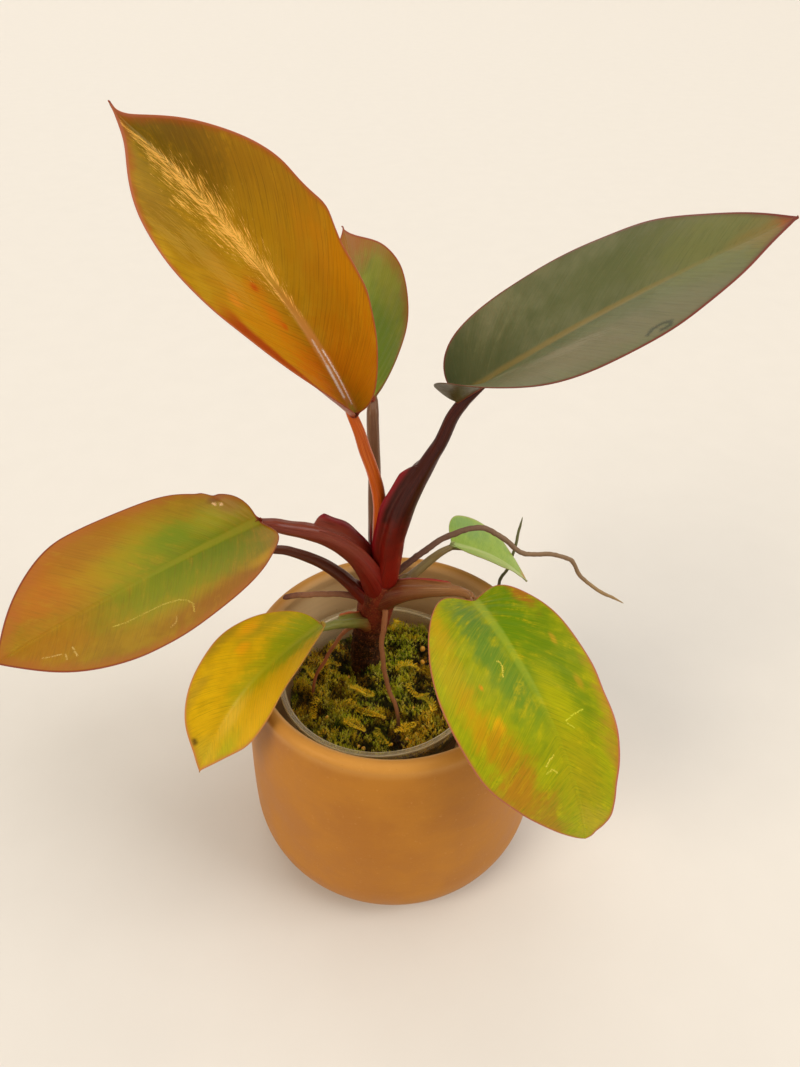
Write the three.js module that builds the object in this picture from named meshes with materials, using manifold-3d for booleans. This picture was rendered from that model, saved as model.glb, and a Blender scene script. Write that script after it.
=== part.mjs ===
import * as THREE from "three";
import { mergeVertices } from "three/addons/utils/BufferGeometryUtils.js";
import Module from "manifold-3d";

// Potted Red Congo philodendron: a young plant in a clear nursery pot inside a round ceramic cover pot.
// Millimetres, +Z up, +X to the viewer's right, +Y away from the viewer; the origin is the middle of the
// cover pot's flat foot.

const wasm = await Module();
wasm.setup();

const CLEARANCE = 0.3; // between pieces that touch on the real plant

// Cover pot
const COVER_HEIGHT = 120;
const COVER_FOOT_RADIUS = 50;
const COVER_BELLY_RADIUS = 74;
const COVER_BELLY_HEIGHT = 30;
const COVER_CORNER = [8, 12]; // how far in from the belly and up from the table the bottom corner pulls
const COVER_SIDE_PULLS = [60, 95]; // heights between which the side leans in
const COVER_NECK_SWELL = 1.5; // how much wider than the lip the side's upper pull stands
const COVER_INNER_CORNER = [14, 18]; // the floor's rounded corner, as steps in from the inner wall
const COVER_RIM_RADIUS = 66; // to the crest of the rounded lip
const COVER_LIP_THICKNESS = 7;
const COVER_WALL = 5;
const COVER_FLOOR = 6;
const COVER_SIDES = 40;

// Clear nursery pot, the common 10.5 cm size, standing on the cover pot's floor a little left of centre
const NURSERY_CENTRE = [-7, 5.5];
const NURSERY_BASE = COVER_FLOOR + CLEARANCE;
const NURSERY_HEIGHT = 89;
const NURSERY_RIM_RADIUS = 51;
const NURSERY_MOUTH_RADIUS = 48;
const NURSERY_FOOT_RADIUS = 37;
const NURSERY_WALL = 1;
const NURSERY_FLANGE_DROP = 4;
const NURSERY_SIDES = 36;
const DRAIN_HOLE_RADIUS = 3.5;
const DRAIN_RING_RADIUS = 25;
const DRAIN_RING_COUNT = 6;

// Potting mix and the moss that covers it
const MIX_TOP = 78;
const MOSS_TOP = 86;
const MOSS_LUMP = 1.4; // height of its cushions
const MOSS_EDGE_DROP = 4; // how much lower it lies at the wall of the pot
const MOSS_RINGS = 7;

// Blades
const BLADE_THICKNESS = 0.8;
const BLADE_ROWS = 18;
const BLADE_LINES = [0, 0.1, 0.38, 0.72, 1]; // places from midrib to margin, as shares of the half width
const VEIN_LEAD = 0.15; // how far a side vein starts behind its end at the margin, as a share of length
const LOBE_END = 1.25; // where the base lobe ends along the margin, in radians of the margin's sweep
const SEAT_WIDTH = 20; // of the block that trims the petiole at the blade's base
const SEAT_DEPTH = 8;
const RIB_DEPTH = 1.7; // midrib below the blade at its base
const RIB_DEPTH_TIP = 0.3;

// Each leaf: where its blade starts, the way the midrib leaves (heading from +X, rise above level), how it
// droops, sweeps sideways, rolls and twists by the tip; the fold of its halves, their curl towards the
// margin and the extra cupping at the base, all in degrees; then its size and outline.
const LEAVES = {
  crown_left: {
    start: [-14.5, 5, 244],
    heading: 163,
    rise: 66,
    droop: 41,
    sweep: -17.5,
    roll: -37,
    twist: -13,
    fold: 32,
    curl: 15,
    cup: 32,
    length: 142,
    width: 69,
    widest: 0.5,
    tipTaper: 1.7,
    baseRound: 0.5,
    lobe: 0,
    skew: 0,
    colour: 0x9a6a1c,
  },
  crown_right: {
    start: [25.5, 0, 253],
    heading: -26,
    rise: 44,
    droop: 12,
    sweep: 12,
    roll: 23,
    twist: 2,
    fold: 18,
    curl: -17,
    cup: 63,
    length: 124,
    width: 61,
    widest: 0.48,
    tipTaper: 1.05,
    baseRound: 0.38,
    lobe: 1,
    skew: -0.03,
    colour: 0x5f5f46,
  },
  crown_back: {
    start: [-8.5, 30, 237],
    heading: 95,
    rise: 17,
    droop: -7,
    sweep: 8,
    roll: -16,
    twist: -37,
    fold: 16,
    curl: -2,
    cup: 21,
    length: 111,
    width: 57,
    widest: 0.48,
    tipTaper: 1.6,
    baseRound: 0.5,
    lobe: 1,
    skew: 0,
    colour: 0x6e7828,
  },
  left: {
    start: [-54, -10, 203],
    heading: 228,
    rise: 6,
    droop: 17,
    sweep: -10,
    roll: -23,
    twist: 12,
    fold: 12,
    curl: 7,
    cup: 13,
    length: 108,
    width: 63,
    widest: 0.62,
    tipTaper: 1,
    baseRound: 0.37,
    lobe: 0,
    skew: 0.1,
    colour: 0x9a8030,
  },
  left_back: {
    start: [-56, 14, 170.5],
    heading: 192,
    rise: 2,
    droop: 28,
    sweep: 8,
    roll: -5,
    twist: 0,
    fold: 14,
    curl: 0,
    cup: 10,
    length: 88,
    width: 44,
    widest: 0.42,
    tipTaper: 1.2,
    baseRound: 0.5,
    lobe: 1,
    skew: 0,
    colour: 0x7c7c2c,
  },
  front_left: {
    start: [-32.5, -5, 139.5],
    heading: 216,
    rise: -7,
    droop: 55,
    sweep: 7,
    roll: 17,
    twist: -60,
    fold: 22,
    curl: 4,
    cup: -1,
    length: 89,
    width: 49,
    widest: 0.42,
    tipTaper: 1.2,
    baseRound: 0.5,
    lobe: 1,
    skew: -0.04,
    colour: 0xb89620,
  },
  front_right: {
    start: [36.5, -5, 154.5],
    heading: 291,
    rise: 13,
    droop: 89,
    sweep: 16,
    roll: 4,
    twist: 31,
    fold: 6,
    curl: -8,
    cup: 28,
    length: 120,
    width: 64,
    widest: 0.43,
    tipTaper: 0.7,
    baseRound: 0.38,
    lobe: 0,
    skew: -0.18,
    colour: 0x8f9a1e,
  },
  back_right: {
    start: [29.5, 38, 152],
    heading: 26,
    rise: -29,
    droop: 26,
    sweep: 5,
    roll: 2,
    twist: 13,
    fold: 24,
    curl: -20,
    cup: 2,
    length: 67,
    width: 40,
    widest: 0.31,
    tipTaper: 1,
    baseRound: 0.5,
    lobe: 1,
    skew: 0.18,
    colour: 0x8ca55a,
  },
};

// Stem: leans a little right and forward as it rises; each entry is a point on its middle line and a radius.
const STEM = [
  [-15.5, 21, 58, 5],
  [-15, 20.5, 75, 7],
  [-14.5, 20, 90, 7.8],
  [-13, 19, 105, 7.8],
  [-10.5, 18, 120, 8.2],
  [-7.8, 16.5, 135, 9],
  [-5, 15.2, 149, 8.4],
  [-3.6, 14.6, 158, 5],
];

const WING_ANGLE = 0.7; // of each sheath wing from the top of the petiole, in radians round it
const WING_SPREAD = 0.4; // half width of a wing at its foot, in the same radians
const SHEATH_SHOULDER = 0.015; // share of the length over which a sheath ends
const PETIOLE_TAPER = 0.85; // radius at the blade over that at the last point before it

// Petioles, from inside the stem to the blade: points on the middle line with radii. sheath is the share of
// the length that carries the two red wings of the leaf sheath, and wing is their height.
const PETIOLES = {
  crown_left: {
    line: [
      [-5, 14.5, 150, 5],
      [-5.6, 14, 168, 3.8],
      [-5.4, 13, 184, 3.3],
      [-5.4, 11.2, 199, 2.9],
      [-7.4, 9.4, 212, 2.7],
      [-11, 7.2, 227, 2.6],
    ],
    sheath: 0.3,
    wing: 0.8,
    colour: 0xa24a16,
  },
  crown_right: {
    line: [
      [-4, 13.5, 151, 6],
      [-1.5, 12, 165, 5.6],
      [0.8, 10.2, 181, 5.6],
      [4.6, 8.2, 197.5, 5.4],
      [9.6, 6.3, 211, 4.6],
      [15.6, 4.3, 224, 3.4],
      [20, 2.8, 234, 2.9],
    ],
    sheath: 0.66,
    wing: 4.5,
    colour: 0x5c1a18,
  },
  crown_back: {
    line: [
      [-6.5, 17.5, 149, 5],
      [-7.6, 21, 163, 3.8],
      [-8.1, 23.5, 178, 3],
      [-7.8, 26, 203, 2.8],
      [-8, 25.4, 222, 2.7],
      [-8.1, 26.2, 232, 2.6],
    ],
    sheath: 0.35,
    wing: 1.2,
    colour: 0x4c2018,
  },
  left: {
    line: [
      [-7, 13.5, 146, 6.5],
      [-11.5, 9.6, 161, 5.6],
      [-18, 5.9, 174.6, 4.9],
      [-26, 2, 184.5, 4.3],
      [-34.5, -1.9, 191.4, 3.8],
      [-43, -5.6, 196.2, 3.2],
    ],
    sheath: 0.64,
    wing: 5.5,
    colour: 0x6e1c18,
  },
  left_back: {
    line: [
      [-9.5, 15, 135, 5],
      [-16, 14.2, 142.5, 3.6],
      [-23.5, 14, 152.5, 3.1],
      [-33, 14, 161, 2.7],
      [-45, 14, 167, 2.3],
    ],
    sheath: 0.3,
    wing: 0.9,
    colour: 0x54201a,
  },
  front_left: {
    line: [
      [-11, 16, 120, 5],
      [-15.5, 9, 128, 3.4],
      [-22, 3.5, 132.8, 2.7],
      [-28, -1.6, 136.4, 2.1],
    ],
    sheath: 0.62,
    wing: 2,
    colour: 0x8c8230,
  },
  front_right: {
    line: [
      [-6, 13.5, 138, 6],
      [2.5, 8.6, 147, 5.2],
      [12, 4.6, 152.4, 4.2],
      [22.5, 0.6, 156, 2.9],
      [30, -1.2, 156.8, 2.3],
      [34.8, -2.2, 155.6, 2.1],
    ],
    sheath: 0.59,
    wing: 2.4,
    colour: 0x7a3a20,
  },
  back_right: {
    line: [
      [-5, 16.5, 139, 5],
      [3, 19.5, 142, 3],
      [9.5, 23.8, 145, 2.4],
      [18, 30.5, 148.5, 2.1],
      [25, 35.4, 150.9, 1.8],
    ],
    sheath: 0.35,
    wing: 1,
    colour: 0x78803c,
  },
};

// Aerial roots, from inside the stem to the tip, with radii.
const ROOTS = {
  root_long_right: [
    [-3, 13, 150, 2],
    [4, 14, 157, 1.6],
    [14, 17, 164.8, 1.5],
    [27.8, 22, 171.3, 1.4],
    [41.7, 25, 172.6, 1.3],
    [52.9, 27, 163.7, 1.3],
    [63.4, 28.5, 154.1, 1.2],
    [74.6, 29.2, 153.5, 1.1],
    [85.8, 29.9, 149.2, 1.1],
    [92.8, 28.7, 139.3, 1],
    [102.5, 27, 131.6, 0.9],
    [114.5, 25, 125.4, 0.6],
  ],
  root_back_right: [
    [25, 20, 68, 0.9],
    [27, 21, 84, 0.9],
    [32, 24, 98, 0.9],
    [42, 28, 113, 0.9],
    [52, 31, 122, 0.9],
    [58.5, 33, 124.5, 0.9],
    [61.5, 38, 120.5, 0.9],
    [60, 46, 113, 0.9],
    [57, 56, 107.5, 0.9],
    [58.1, 62, 109.5, 0.9],
    [62.1, 66, 112.6, 0.9],
    [64.8, 69, 120, 0.8],
    [66.6, 71, 132.3, 0.8],
    [68.6, 73, 142.9, 0.6],
  ],
  root_short_left: [
    [-10, 16, 136, 1.8],
    [-18, 14, 140.1, 1.5],
    [-25, 12, 143.1, 1.3],
    [-34, 9.6, 145.4, 1.2],
    [-43, 7.1, 147, 1.1],
    [-50.7, 5, 147.1, 0.8],
  ],
  root_front: [
    [-6, 15, 134, 1.6],
    [-3.2, 5.6, 136.6, 1.4],
    [-3.8, 2, 132.5, 1.3],
    [-5, -1.8, 123.9, 1.2],
    [-4.6, -5.4, 116.4, 1.2],
    [-2.3, -11.2, 104.3, 1.1],
    [1.2, -15.6, 96, 1],
    [2.4, -18, 88, 0.9],
    [2, -19.5, 70, 0.8],
  ],
  root_front_left: [
    [-12, 18, 118, 1.4],
    [-20.5, 12, 121.5, 1.1],
    [-24.4, 10, 119.4, 1],
    [-28.5, 8.1, 113.7, 0.9],
    [-32.7, 5.8, 106.3, 0.9],
    [-37, 3.8, 99.6, 0.8],
    [-39.7, 1.7, 92.5, 0.8],
    [-40.6, 0.4, 84, 0.7],
    [-40, 0, 70, 0.6],
  ],
};

const radians = THREE.MathUtils.degToRad;
const clamp01 = (x) => THREE.MathUtils.clamp(x, 0, 1);

// Integral of cos(a + b t) for t from 0 to u, in closed form.
function cosSum(a, b, u) {
  const half = (b * u) / 2;
  const ratio = Math.abs(half) < 1e-9 ? 1 : Math.sin(half) / half;
  return u * Math.cos(a + half) * ratio;
}

// A point on the midrib at share u of its length, with the tangent, the sideways direction (to the left of
// the heading) and the upper face's direction there.
function midribFrame(leaf, share) {
  const u = clamp01(share);
  const rise = radians(leaf.rise);
  const droop = radians(leaf.droop);
  const heading = radians(leaf.heading);
  const sweep = radians(leaf.sweep);
  const quarter = Math.PI / 2;
  const along = cosSum(rise + heading, sweep - droop, u);
  const against = cosSum(rise - heading, -sweep - droop, u);
  const upper = cosSum(heading + rise - quarter, sweep - droop, u);
  const lower = cosSum(heading - rise - quarter, sweep + droop, u);
  const e = rise - droop * u;
  const h = heading + sweep * u;
  const tangent = new THREE.Vector3(
    Math.cos(e) * Math.cos(h),
    Math.cos(e) * Math.sin(h),
    Math.sin(e),
  );
  const point = new THREE.Vector3(
    (along + against) / 2,
    (upper + lower) / 2,
    cosSum(rise - quarter, -droop, u),
  )
    .multiplyScalar(leaf.length)
    .add(new THREE.Vector3(...leaf.start))
    .addScaledVector(tangent, (share - u) * leaf.length);
  const side = new THREE.Vector3(-Math.sin(h), Math.cos(h), 0);
  const up = new THREE.Vector3().crossVectors(tangent, side);
  const turn = radians(leaf.roll + leaf.twist * u);
  const left = side.clone().multiplyScalar(Math.cos(turn)).addScaledVector(up, Math.sin(turn));
  const face = new THREE.Vector3().crossVectors(tangent, left);
  return { point, left, face };
}

// Half width of the blade at share y of its length, from 0 at the base through 1 at the widest place to 0
// at the tip: a power of a parabola on each side.
function outline(leaf, y) {
  const beforeWidest = y < leaf.widest;
  const reach = beforeWidest ? leaf.widest : 1 - leaf.widest;
  const fall = clamp01(1 - ((y - leaf.widest) / reach) ** 2);
  return fall ** (beforeWidest ? leaf.baseRound : leaf.tipTaper);
}

// A point of the blade's middle surface: side is +1 (left half) or -1, sweep runs 0..pi along the margin
// from the base to the tip, v runs from 0 at the midrib to 1 at the margin along a side vein.
function bladePoint(leaf, side, sweep, v) {
  const y = (1 - Math.cos(sweep)) / 2;
  const half = (leaf.width / 2) * (1 + side * leaf.skew) * outline(leaf, y);
  const lobeShape = sweep < LOBE_END ? Math.sin((Math.PI * sweep) / LOBE_END) ** 2 : 0;
  const lobe = (lobeShape * leaf.lobe) / leaf.length;
  const root = y - VEIN_LEAD * Math.sin(sweep) ** 2;
  const share = root + (y - lobe - root) * v ** 1.4;
  const cup = radians(leaf.cup) * (1 - clamp01(share)) ** 4;
  const fold = radians(leaf.fold) + cup / 2;
  const curl = radians(leaf.curl) + cup;
  const { point, left, face } = midribFrame(leaf, share);
  return point
    .addScaledVector(left, side * half * cosSum(fold, curl, v))
    .addScaledVector(face, half * cosSum(fold - Math.PI / 2, curl, v));
}

// A blade as a closed skin: an upper and a lower face with like triangles, the lower one swelling into the
// midrib, joined round the margin.
function bladeGeometry(leaf) {
  const step = 1e-3;
  const vertices = [];
  const indices = [];
  const columns = [];
  for (const v of BLADE_LINES.slice(1).reverse()) columns.push([1, v]);
  columns.push([0, 0]);
  for (const v of BLADE_LINES.slice(1)) columns.push([-1, v]);
  const half = BLADE_THICKNESS / 2;

  // The upper face's direction: across the two surface lines, averaged over both halves on the midrib.
  const normalAt = (side, sweep, v) => {
    if (sweep < step * 2 || sweep > Math.PI - step * 2) {
      return midribFrame(leaf, sweep < 1 ? 0 : 1).face;
    }
    const normal = new THREE.Vector3();
    for (const s of side === 0 ? [1, -1] : [side]) {
      const inner = Math.max(v - step, 0);
      const outer = Math.min(v + step, 1);
      const across = bladePoint(leaf, s, sweep, outer).sub(bladePoint(leaf, s, sweep, inner));
      const along = bladePoint(leaf, s, sweep + step, v).sub(bladePoint(leaf, s, sweep - step, v));
      normal.add(along.cross(across).multiplyScalar(s).normalize());
    }
    return normal.normalize();
  };
  const addPair = (side, sweep, v) => {
    const middle = bladePoint(leaf, side || 1, sweep, v);
    const normal = normalAt(side, sweep, v);
    const share = (1 - Math.cos(sweep)) / 2;
    const rib = side === 0 ? THREE.MathUtils.lerp(RIB_DEPTH, RIB_DEPTH_TIP, share) : 0;
    const top = middle.clone().addScaledVector(normal, half);
    const bottom = middle.clone().addScaledVector(normal, -half - rib);
    vertices.push(...top, ...bottom);
    return vertices.length / 3 - 2;
  };

  const base = addPair(0, 0, 0);
  const rows = [];
  for (let row = 1; row < BLADE_ROWS; row++) {
    const sweep = (Math.PI * row) / BLADE_ROWS;
    rows.push(columns.map(([side, v]) => addPair(side, sweep, v)));
  }
  const tip = addPair(0, Math.PI, 0);

  const triangle = (a, b, c) => {
    indices.push(a, c, b, a + 1, b + 1, c + 1);
  };
  const last = columns.length - 1;
  const middleColumn = last / 2;
  for (let c = 0; c < last; c++) {
    triangle(base, rows[0][c], rows[0][c + 1]);
    triangle(tip, rows.at(-1)[c + 1], rows.at(-1)[c]);
    for (let r = 0; r + 1 < rows.length; r++) {
      const [a, b] = [rows[r][c], rows[r][c + 1]];
      const [d, e] = [rows[r + 1][c], rows[r + 1][c + 1]];
      if (c < middleColumn) {
        triangle(a, d, b);
        triangle(b, d, e);
      } else {
        triangle(a, e, b);
        triangle(a, d, e);
      }
    }
  }
  const wall = (a, b) => {
    indices.push(a, b, a + 1, b, b + 1, a + 1);
  };
  const leftMargin = [base, ...rows.map((row) => row[0]), tip];
  const rightMargin = [base, ...rows.map((row) => row[last]), tip];
  for (let i = 0; i + 1 < leftMargin.length; i++) {
    wall(leftMargin[i], leftMargin[i + 1]);
    wall(rightMargin[i + 1], rightMargin[i]);
  }
  return closedGeometry(vertices, indices);
}

function closedGeometry(vertices, indices) {
  const geometry = new THREE.BufferGeometry();
  geometry.setAttribute("position", new THREE.Float32BufferAttribute(vertices, 3));
  geometry.setIndex(indices);
  return geometry;
}

// A stalk, stem or root: a closed tube along a smooth line through the given points.
// Two wings may stand on its upper side, or on the side that faces the stem where it is upright, for the
// share of the length given by sheath.
function stalkGeometry({ line, sheath = 0, wing = 0 }, { sides, rings, grow = 0 }) {
  const curve = new THREE.CatmullRomCurve3(
    line.map(([x, y, z]) => new THREE.Vector3(x, y, z)),
    false,
    "centripetal",
  );
  const radii = line.map((entry) => entry[3]);
  const first = curve.getPoint(0);
  const lastPoint = curve.getPoint(1);
  const heading = lastPoint.clone().sub(first).setZ(0).normalize();
  const wingSide = new THREE.Vector3(0, 0, 1).sub(heading);
  const places = [];
  for (let i = 0; i <= rings; i++) places.push(i / rings);
  if (sheath) places.push(sheath - SHEATH_SHOULDER, sheath + SHEATH_SHOULDER);
  places.sort((a, b) => a - b);

  const vertices = [];
  const indices = [];
  for (const place of places) {
    const spot = place * (radii.length - 1);
    const from = Math.min(Math.floor(spot), radii.length - 2);
    const radius = THREE.MathUtils.lerp(radii[from], radii[from + 1], spot - from);
    const point = curve.getPoint(place);
    const tangent = curve.getTangent(place);
    const up = wingSide.clone().addScaledVector(tangent, -wingSide.dot(tangent)).normalize();
    const across = new THREE.Vector3().crossVectors(tangent, up);
    const rise = wing * Math.sin(Math.PI * Math.min(0.5, place / (sheath || 1) / 2 + 0.12));
    const height = place < sheath ? rise : 0;
    for (let i = 0; i < sides; i++) {
      const angle = (2 * Math.PI * i) / sides;
      const offTop = Math.abs(angle > Math.PI ? angle - 2 * Math.PI : angle);
      const crest = height * Math.exp(-(((offTop - WING_ANGLE) / WING_SPREAD) ** 2));
      const reach = radius + crest + grow;
      vertices.push(
        ...point
          .clone()
          .addScaledVector(up, reach * Math.cos(angle))
          .addScaledVector(across, reach * Math.sin(angle)),
      );
    }
  }
  for (let r = 0; r + 1 < places.length; r++) {
    for (let i = 0; i < sides; i++) {
      const next = (i + 1) % sides;
      const [a, b] = [r * sides + i, r * sides + next];
      indices.push(a, b, b + sides, a, b + sides, a + sides);
    }
  }
  const startCap = vertices.length / 3;
  vertices.push(...first, ...lastPoint);
  const lastRing = (places.length - 1) * sides;
  for (let i = 0; i < sides; i++) {
    const next = (i + 1) % sides;
    indices.push(startCap, next, i, startCap + 1, lastRing + i, lastRing + next);
  }
  return closedGeometry(vertices, indices);
}

// Geometry to a manifold-3d solid.
function solid(geometry) {
  const bare = geometry.clone();
  bare.deleteAttribute("normal");
  bare.deleteAttribute("uv");
  const merged = mergeVertices(bare, 1e-3);
  return new wasm.Manifold(
    new wasm.Mesh({
      numProp: 3,
      vertProperties: new Float32Array(merged.attributes.position.array),
      triVerts: new Uint32Array(merged.index.array),
    }),
  );
}

// A manifold-3d solid back to geometry.
function fromSolid(body) {
  const mesh = body.getMesh();
  return closedGeometry(mesh.vertProperties, [...mesh.triVerts]);
}

// The largest piece of a cut body.
function mainPiece(body) {
  return body.decompose().sort((a, b) => b.volume() - a.volume())[0];
}

// What is left of a body outside the others, without the slivers that a cut leaves.
function cut(body, others) {
  const left = others.reduce((rest, other) => rest.subtract(other), body);
  return mainPiece(solid(fromSolid(mainPiece(left))));
}

const plant = new THREE.Group();

function addPiece(name, geometry, colour, roughness, extra = {}) {
  const material = new THREE.MeshStandardMaterial({ color: colour, roughness, metalness: 0, ...extra });
  const shaded = geometry.toNonIndexed();
  shaded.computeVertexNormals();
  const piece = new THREE.Mesh(shaded, material);
  piece.name = name;
  plant.add(piece);
}

// Turned pieces: the profile is given as radius and height, from the axis out and back.
function turned(profile, sides, centre = [0, 0]) {
  const lathe = new THREE.LatheGeometry(
    profile.map(([r, z]) => new THREE.Vector2(r, z)),
    sides,
  );
  lathe.rotateX(Math.PI / 2);
  lathe.translate(centre[0], centre[1], 0);
  return lathe;
}

// Cover pot: flat foot, a wide round shoulder at the bottom, sides that lean in to a thick rounded lip.
function coverPot() {
  const lip = COVER_LIP_THICKNESS / 2;
  const neck = COVER_RIM_RADIUS + lip;
  const lipMiddle = COVER_HEIGHT - lip;
  const outside = new THREE.CurvePath();
  const at = (r, z) => new THREE.Vector2(r, z);
  outside.add(
    new THREE.CubicBezierCurve(
      at(COVER_FOOT_RADIUS, 0),
      at(COVER_BELLY_RADIUS - COVER_CORNER[0], 0),
      at(COVER_BELLY_RADIUS, COVER_CORNER[1]),
      at(COVER_BELLY_RADIUS, COVER_BELLY_HEIGHT),
    ),
  );
  outside.add(
    new THREE.CubicBezierCurve(
      at(COVER_BELLY_RADIUS, COVER_BELLY_HEIGHT),
      at(COVER_BELLY_RADIUS, COVER_SIDE_PULLS[0]),
      at(neck + COVER_NECK_SWELL, COVER_SIDE_PULLS[1]),
      at(neck, lipMiddle),
    ),
  );
  const outer = outside.curves.flatMap((curve) => curve.getPoints(5));
  const inner = outer
    .filter((p) => p.y < lipMiddle - 4 && p.y > COVER_FLOOR)
    .map((p) => [p.x - COVER_WALL, p.y])
    .reverse();
  const profile = outer.map((p) => [p.x, p.y]);
  for (let i = 1; i < 6; i++) {
    const angle = (Math.PI * i) / 6;
    profile.push([COVER_RIM_RADIUS + lip * Math.cos(angle), lipMiddle + lip * Math.sin(angle)]);
  }
  profile.push([COVER_RIM_RADIUS - lip, lipMiddle]);
  profile.push(...inner);
  const innerWall = COVER_BELLY_RADIUS - COVER_WALL;
  profile.push([innerWall - COVER_INNER_CORNER[0], COVER_FLOOR + 1]);
  profile.push([innerWall - COVER_INNER_CORNER[1], COVER_FLOOR]);
  return turned([[0, 0], ...profile, [0, COVER_FLOOR]], COVER_SIDES);
}

// Radius of the nursery pot's inner wall at a height above the table.
function nurseryInside(height) {
  const share = (height - NURSERY_BASE) / NURSERY_HEIGHT;
  return THREE.MathUtils.lerp(NURSERY_FOOT_RADIUS, NURSERY_MOUTH_RADIUS, share) - NURSERY_WALL;
}

// Nursery pot: thin tapering wall with a flange that turns out and down, and drain holes in the floor.
function nurseryPot() {
  const top = NURSERY_BASE + NURSERY_HEIGHT;
  const floor = NURSERY_BASE + NURSERY_WALL;
  const underFlange = top - NURSERY_WALL;
  const skirt = top - NURSERY_FLANGE_DROP;
  const shell = turned(
    [
      [0, NURSERY_BASE],
      [NURSERY_FOOT_RADIUS - 2, NURSERY_BASE],
      [NURSERY_FOOT_RADIUS, NURSERY_BASE + 2],
      [nurseryInside(underFlange) + NURSERY_WALL, underFlange],
      [NURSERY_RIM_RADIUS - NURSERY_WALL, underFlange],
      [NURSERY_RIM_RADIUS - NURSERY_WALL, skirt],
      [NURSERY_RIM_RADIUS, skirt],
      [NURSERY_RIM_RADIUS, top - 0.5],
      [NURSERY_RIM_RADIUS - 0.5, top],
      [nurseryInside(top) + 0.4, top],
      [nurseryInside(top - 1), top - 1],
      [nurseryInside(floor + 1.5), floor + 1.5],
      [nurseryInside(floor) - 1.5, floor],
      [0, floor],
    ],
    NURSERY_SIDES,
    NURSERY_CENTRE,
  );
  let body = solid(shell);
  const places = [[0, 0]];
  for (let i = 0; i < DRAIN_RING_COUNT; i++) {
    const angle = (2 * Math.PI * i) / DRAIN_RING_COUNT;
    places.push([DRAIN_RING_RADIUS * Math.cos(angle), DRAIN_RING_RADIUS * Math.sin(angle)]);
  }
  for (const [x, y] of places) {
    const drill = new THREE.CylinderGeometry(DRAIN_HOLE_RADIUS, DRAIN_HOLE_RADIUS, 6, 12);
    drill.rotateX(Math.PI / 2);
    drill.translate(NURSERY_CENTRE[0] + x, NURSERY_CENTRE[1] + y, NURSERY_BASE + 0.5);
    body = body.subtract(solid(drill));
  }
  return mainPiece(body);
}

function pottingMix() {
  const bottom = NURSERY_BASE + NURSERY_WALL + CLEARANCE;
  const clear = (height) => nurseryInside(height) - CLEARANCE - 0.2;
  return turned(
    [
      [0, bottom],
      [clear(bottom) - 3, bottom],
      [clear(bottom + 3), bottom + 3],
      [clear(MIX_TOP), MIX_TOP],
      [0, MIX_TOP],
    ],
    NURSERY_SIDES,
    NURSERY_CENTRE,
  );
}

// Moss carpet: a round pad whose top rolls in soft cushions and drops at the wall of the pot.
function mossCarpet() {
  const bottom = MIX_TOP + CLEARANCE;
  const radius = nurseryInside(bottom) - CLEARANCE - 0.2;
  const [cx, cy] = NURSERY_CENTRE;
  const rings = MOSS_RINGS;
  const vertices = [];
  const indices = [];
  // Broad cushions of about 45 mm and smaller ones of about 25 mm, then the fall to the wall.
  const height = (x, y, share) => {
    const broad = Math.sin(x / 7.3 + 0.6) * Math.cos(y / 6.1 - 0.4);
    const small = Math.sin(x / 3.7 + y / 4.9) / 2;
    return MOSS_TOP + MOSS_LUMP * (broad + small) - MOSS_EDGE_DROP * share ** 6;
  };
  vertices.push(cx, cy, height(0, 0, 0));
  for (let r = 1; r <= rings; r++) {
    for (let i = 0; i < NURSERY_SIDES; i++) {
      const angle = (2 * Math.PI * i) / NURSERY_SIDES;
      const x = radius * (r / rings) * Math.cos(angle);
      const y = radius * (r / rings) * Math.sin(angle);
      vertices.push(cx + x, cy + y, height(x, y, r / rings));
    }
  }
  const ring = (r, i) => 1 + (r - 1) * NURSERY_SIDES + (i % NURSERY_SIDES);
  const lower = vertices.length / 3;
  for (let i = 0; i < NURSERY_SIDES; i++) {
    const angle = (2 * Math.PI * i) / NURSERY_SIDES;
    vertices.push(cx + radius * Math.cos(angle), cy + radius * Math.sin(angle), bottom);
  }
  vertices.push(cx, cy, bottom);
  const centreBelow = lower + NURSERY_SIDES;
  for (let i = 0; i < NURSERY_SIDES; i++) {
    const next = (i + 1) % NURSERY_SIDES;
    indices.push(0, ring(1, i), ring(1, next));
    for (let r = 1; r < rings; r++) {
      indices.push(ring(r, i), ring(r + 1, i), ring(r + 1, next));
      indices.push(ring(r, i), ring(r + 1, next), ring(r, next));
    }
    indices.push(ring(rings, i), lower + i, lower + next);
    indices.push(ring(rings, i), lower + next, ring(rings, next));
    indices.push(centreBelow, lower + next, lower + i);
  }
  return closedGeometry(vertices, indices);
}

const stemShape = { sides: 12, rings: 12 };
const petioleShape = { sides: 9, rings: 11 };
const rootShape = (line) => ({ sides: 6, rings: 2 * (line.length - 1) });
const grown = (shape) => ({ ...shape, grow: CLEARANCE });

const stem = solid(stalkGeometry({ line: STEM }, stemShape));
const cutters = [solid(stalkGeometry({ line: STEM }, grown(stemShape)))];

const blades = {};
for (const [name, leaf] of Object.entries(LEAVES)) blades[name] = solid(bladeGeometry(leaf));

// A block whose near face lies square to the midrib, just behind the blade's base: it trims the petiole.
function bladeSeat(leaf) {
  const { point, left, face } = midribFrame(leaf, 0);
  const forward = new THREE.Vector3().crossVectors(left, face);
  const block = new THREE.BoxGeometry(SEAT_WIDTH, SEAT_WIDTH, SEAT_DEPTH);
  const ahead = SEAT_DEPTH / 2 - CLEARANCE;
  block.applyMatrix4(new THREE.Matrix4().makeBasis(left, face, forward));
  block.translate(...point.addScaledVector(forward, ahead));
  return solid(block);
}

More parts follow.
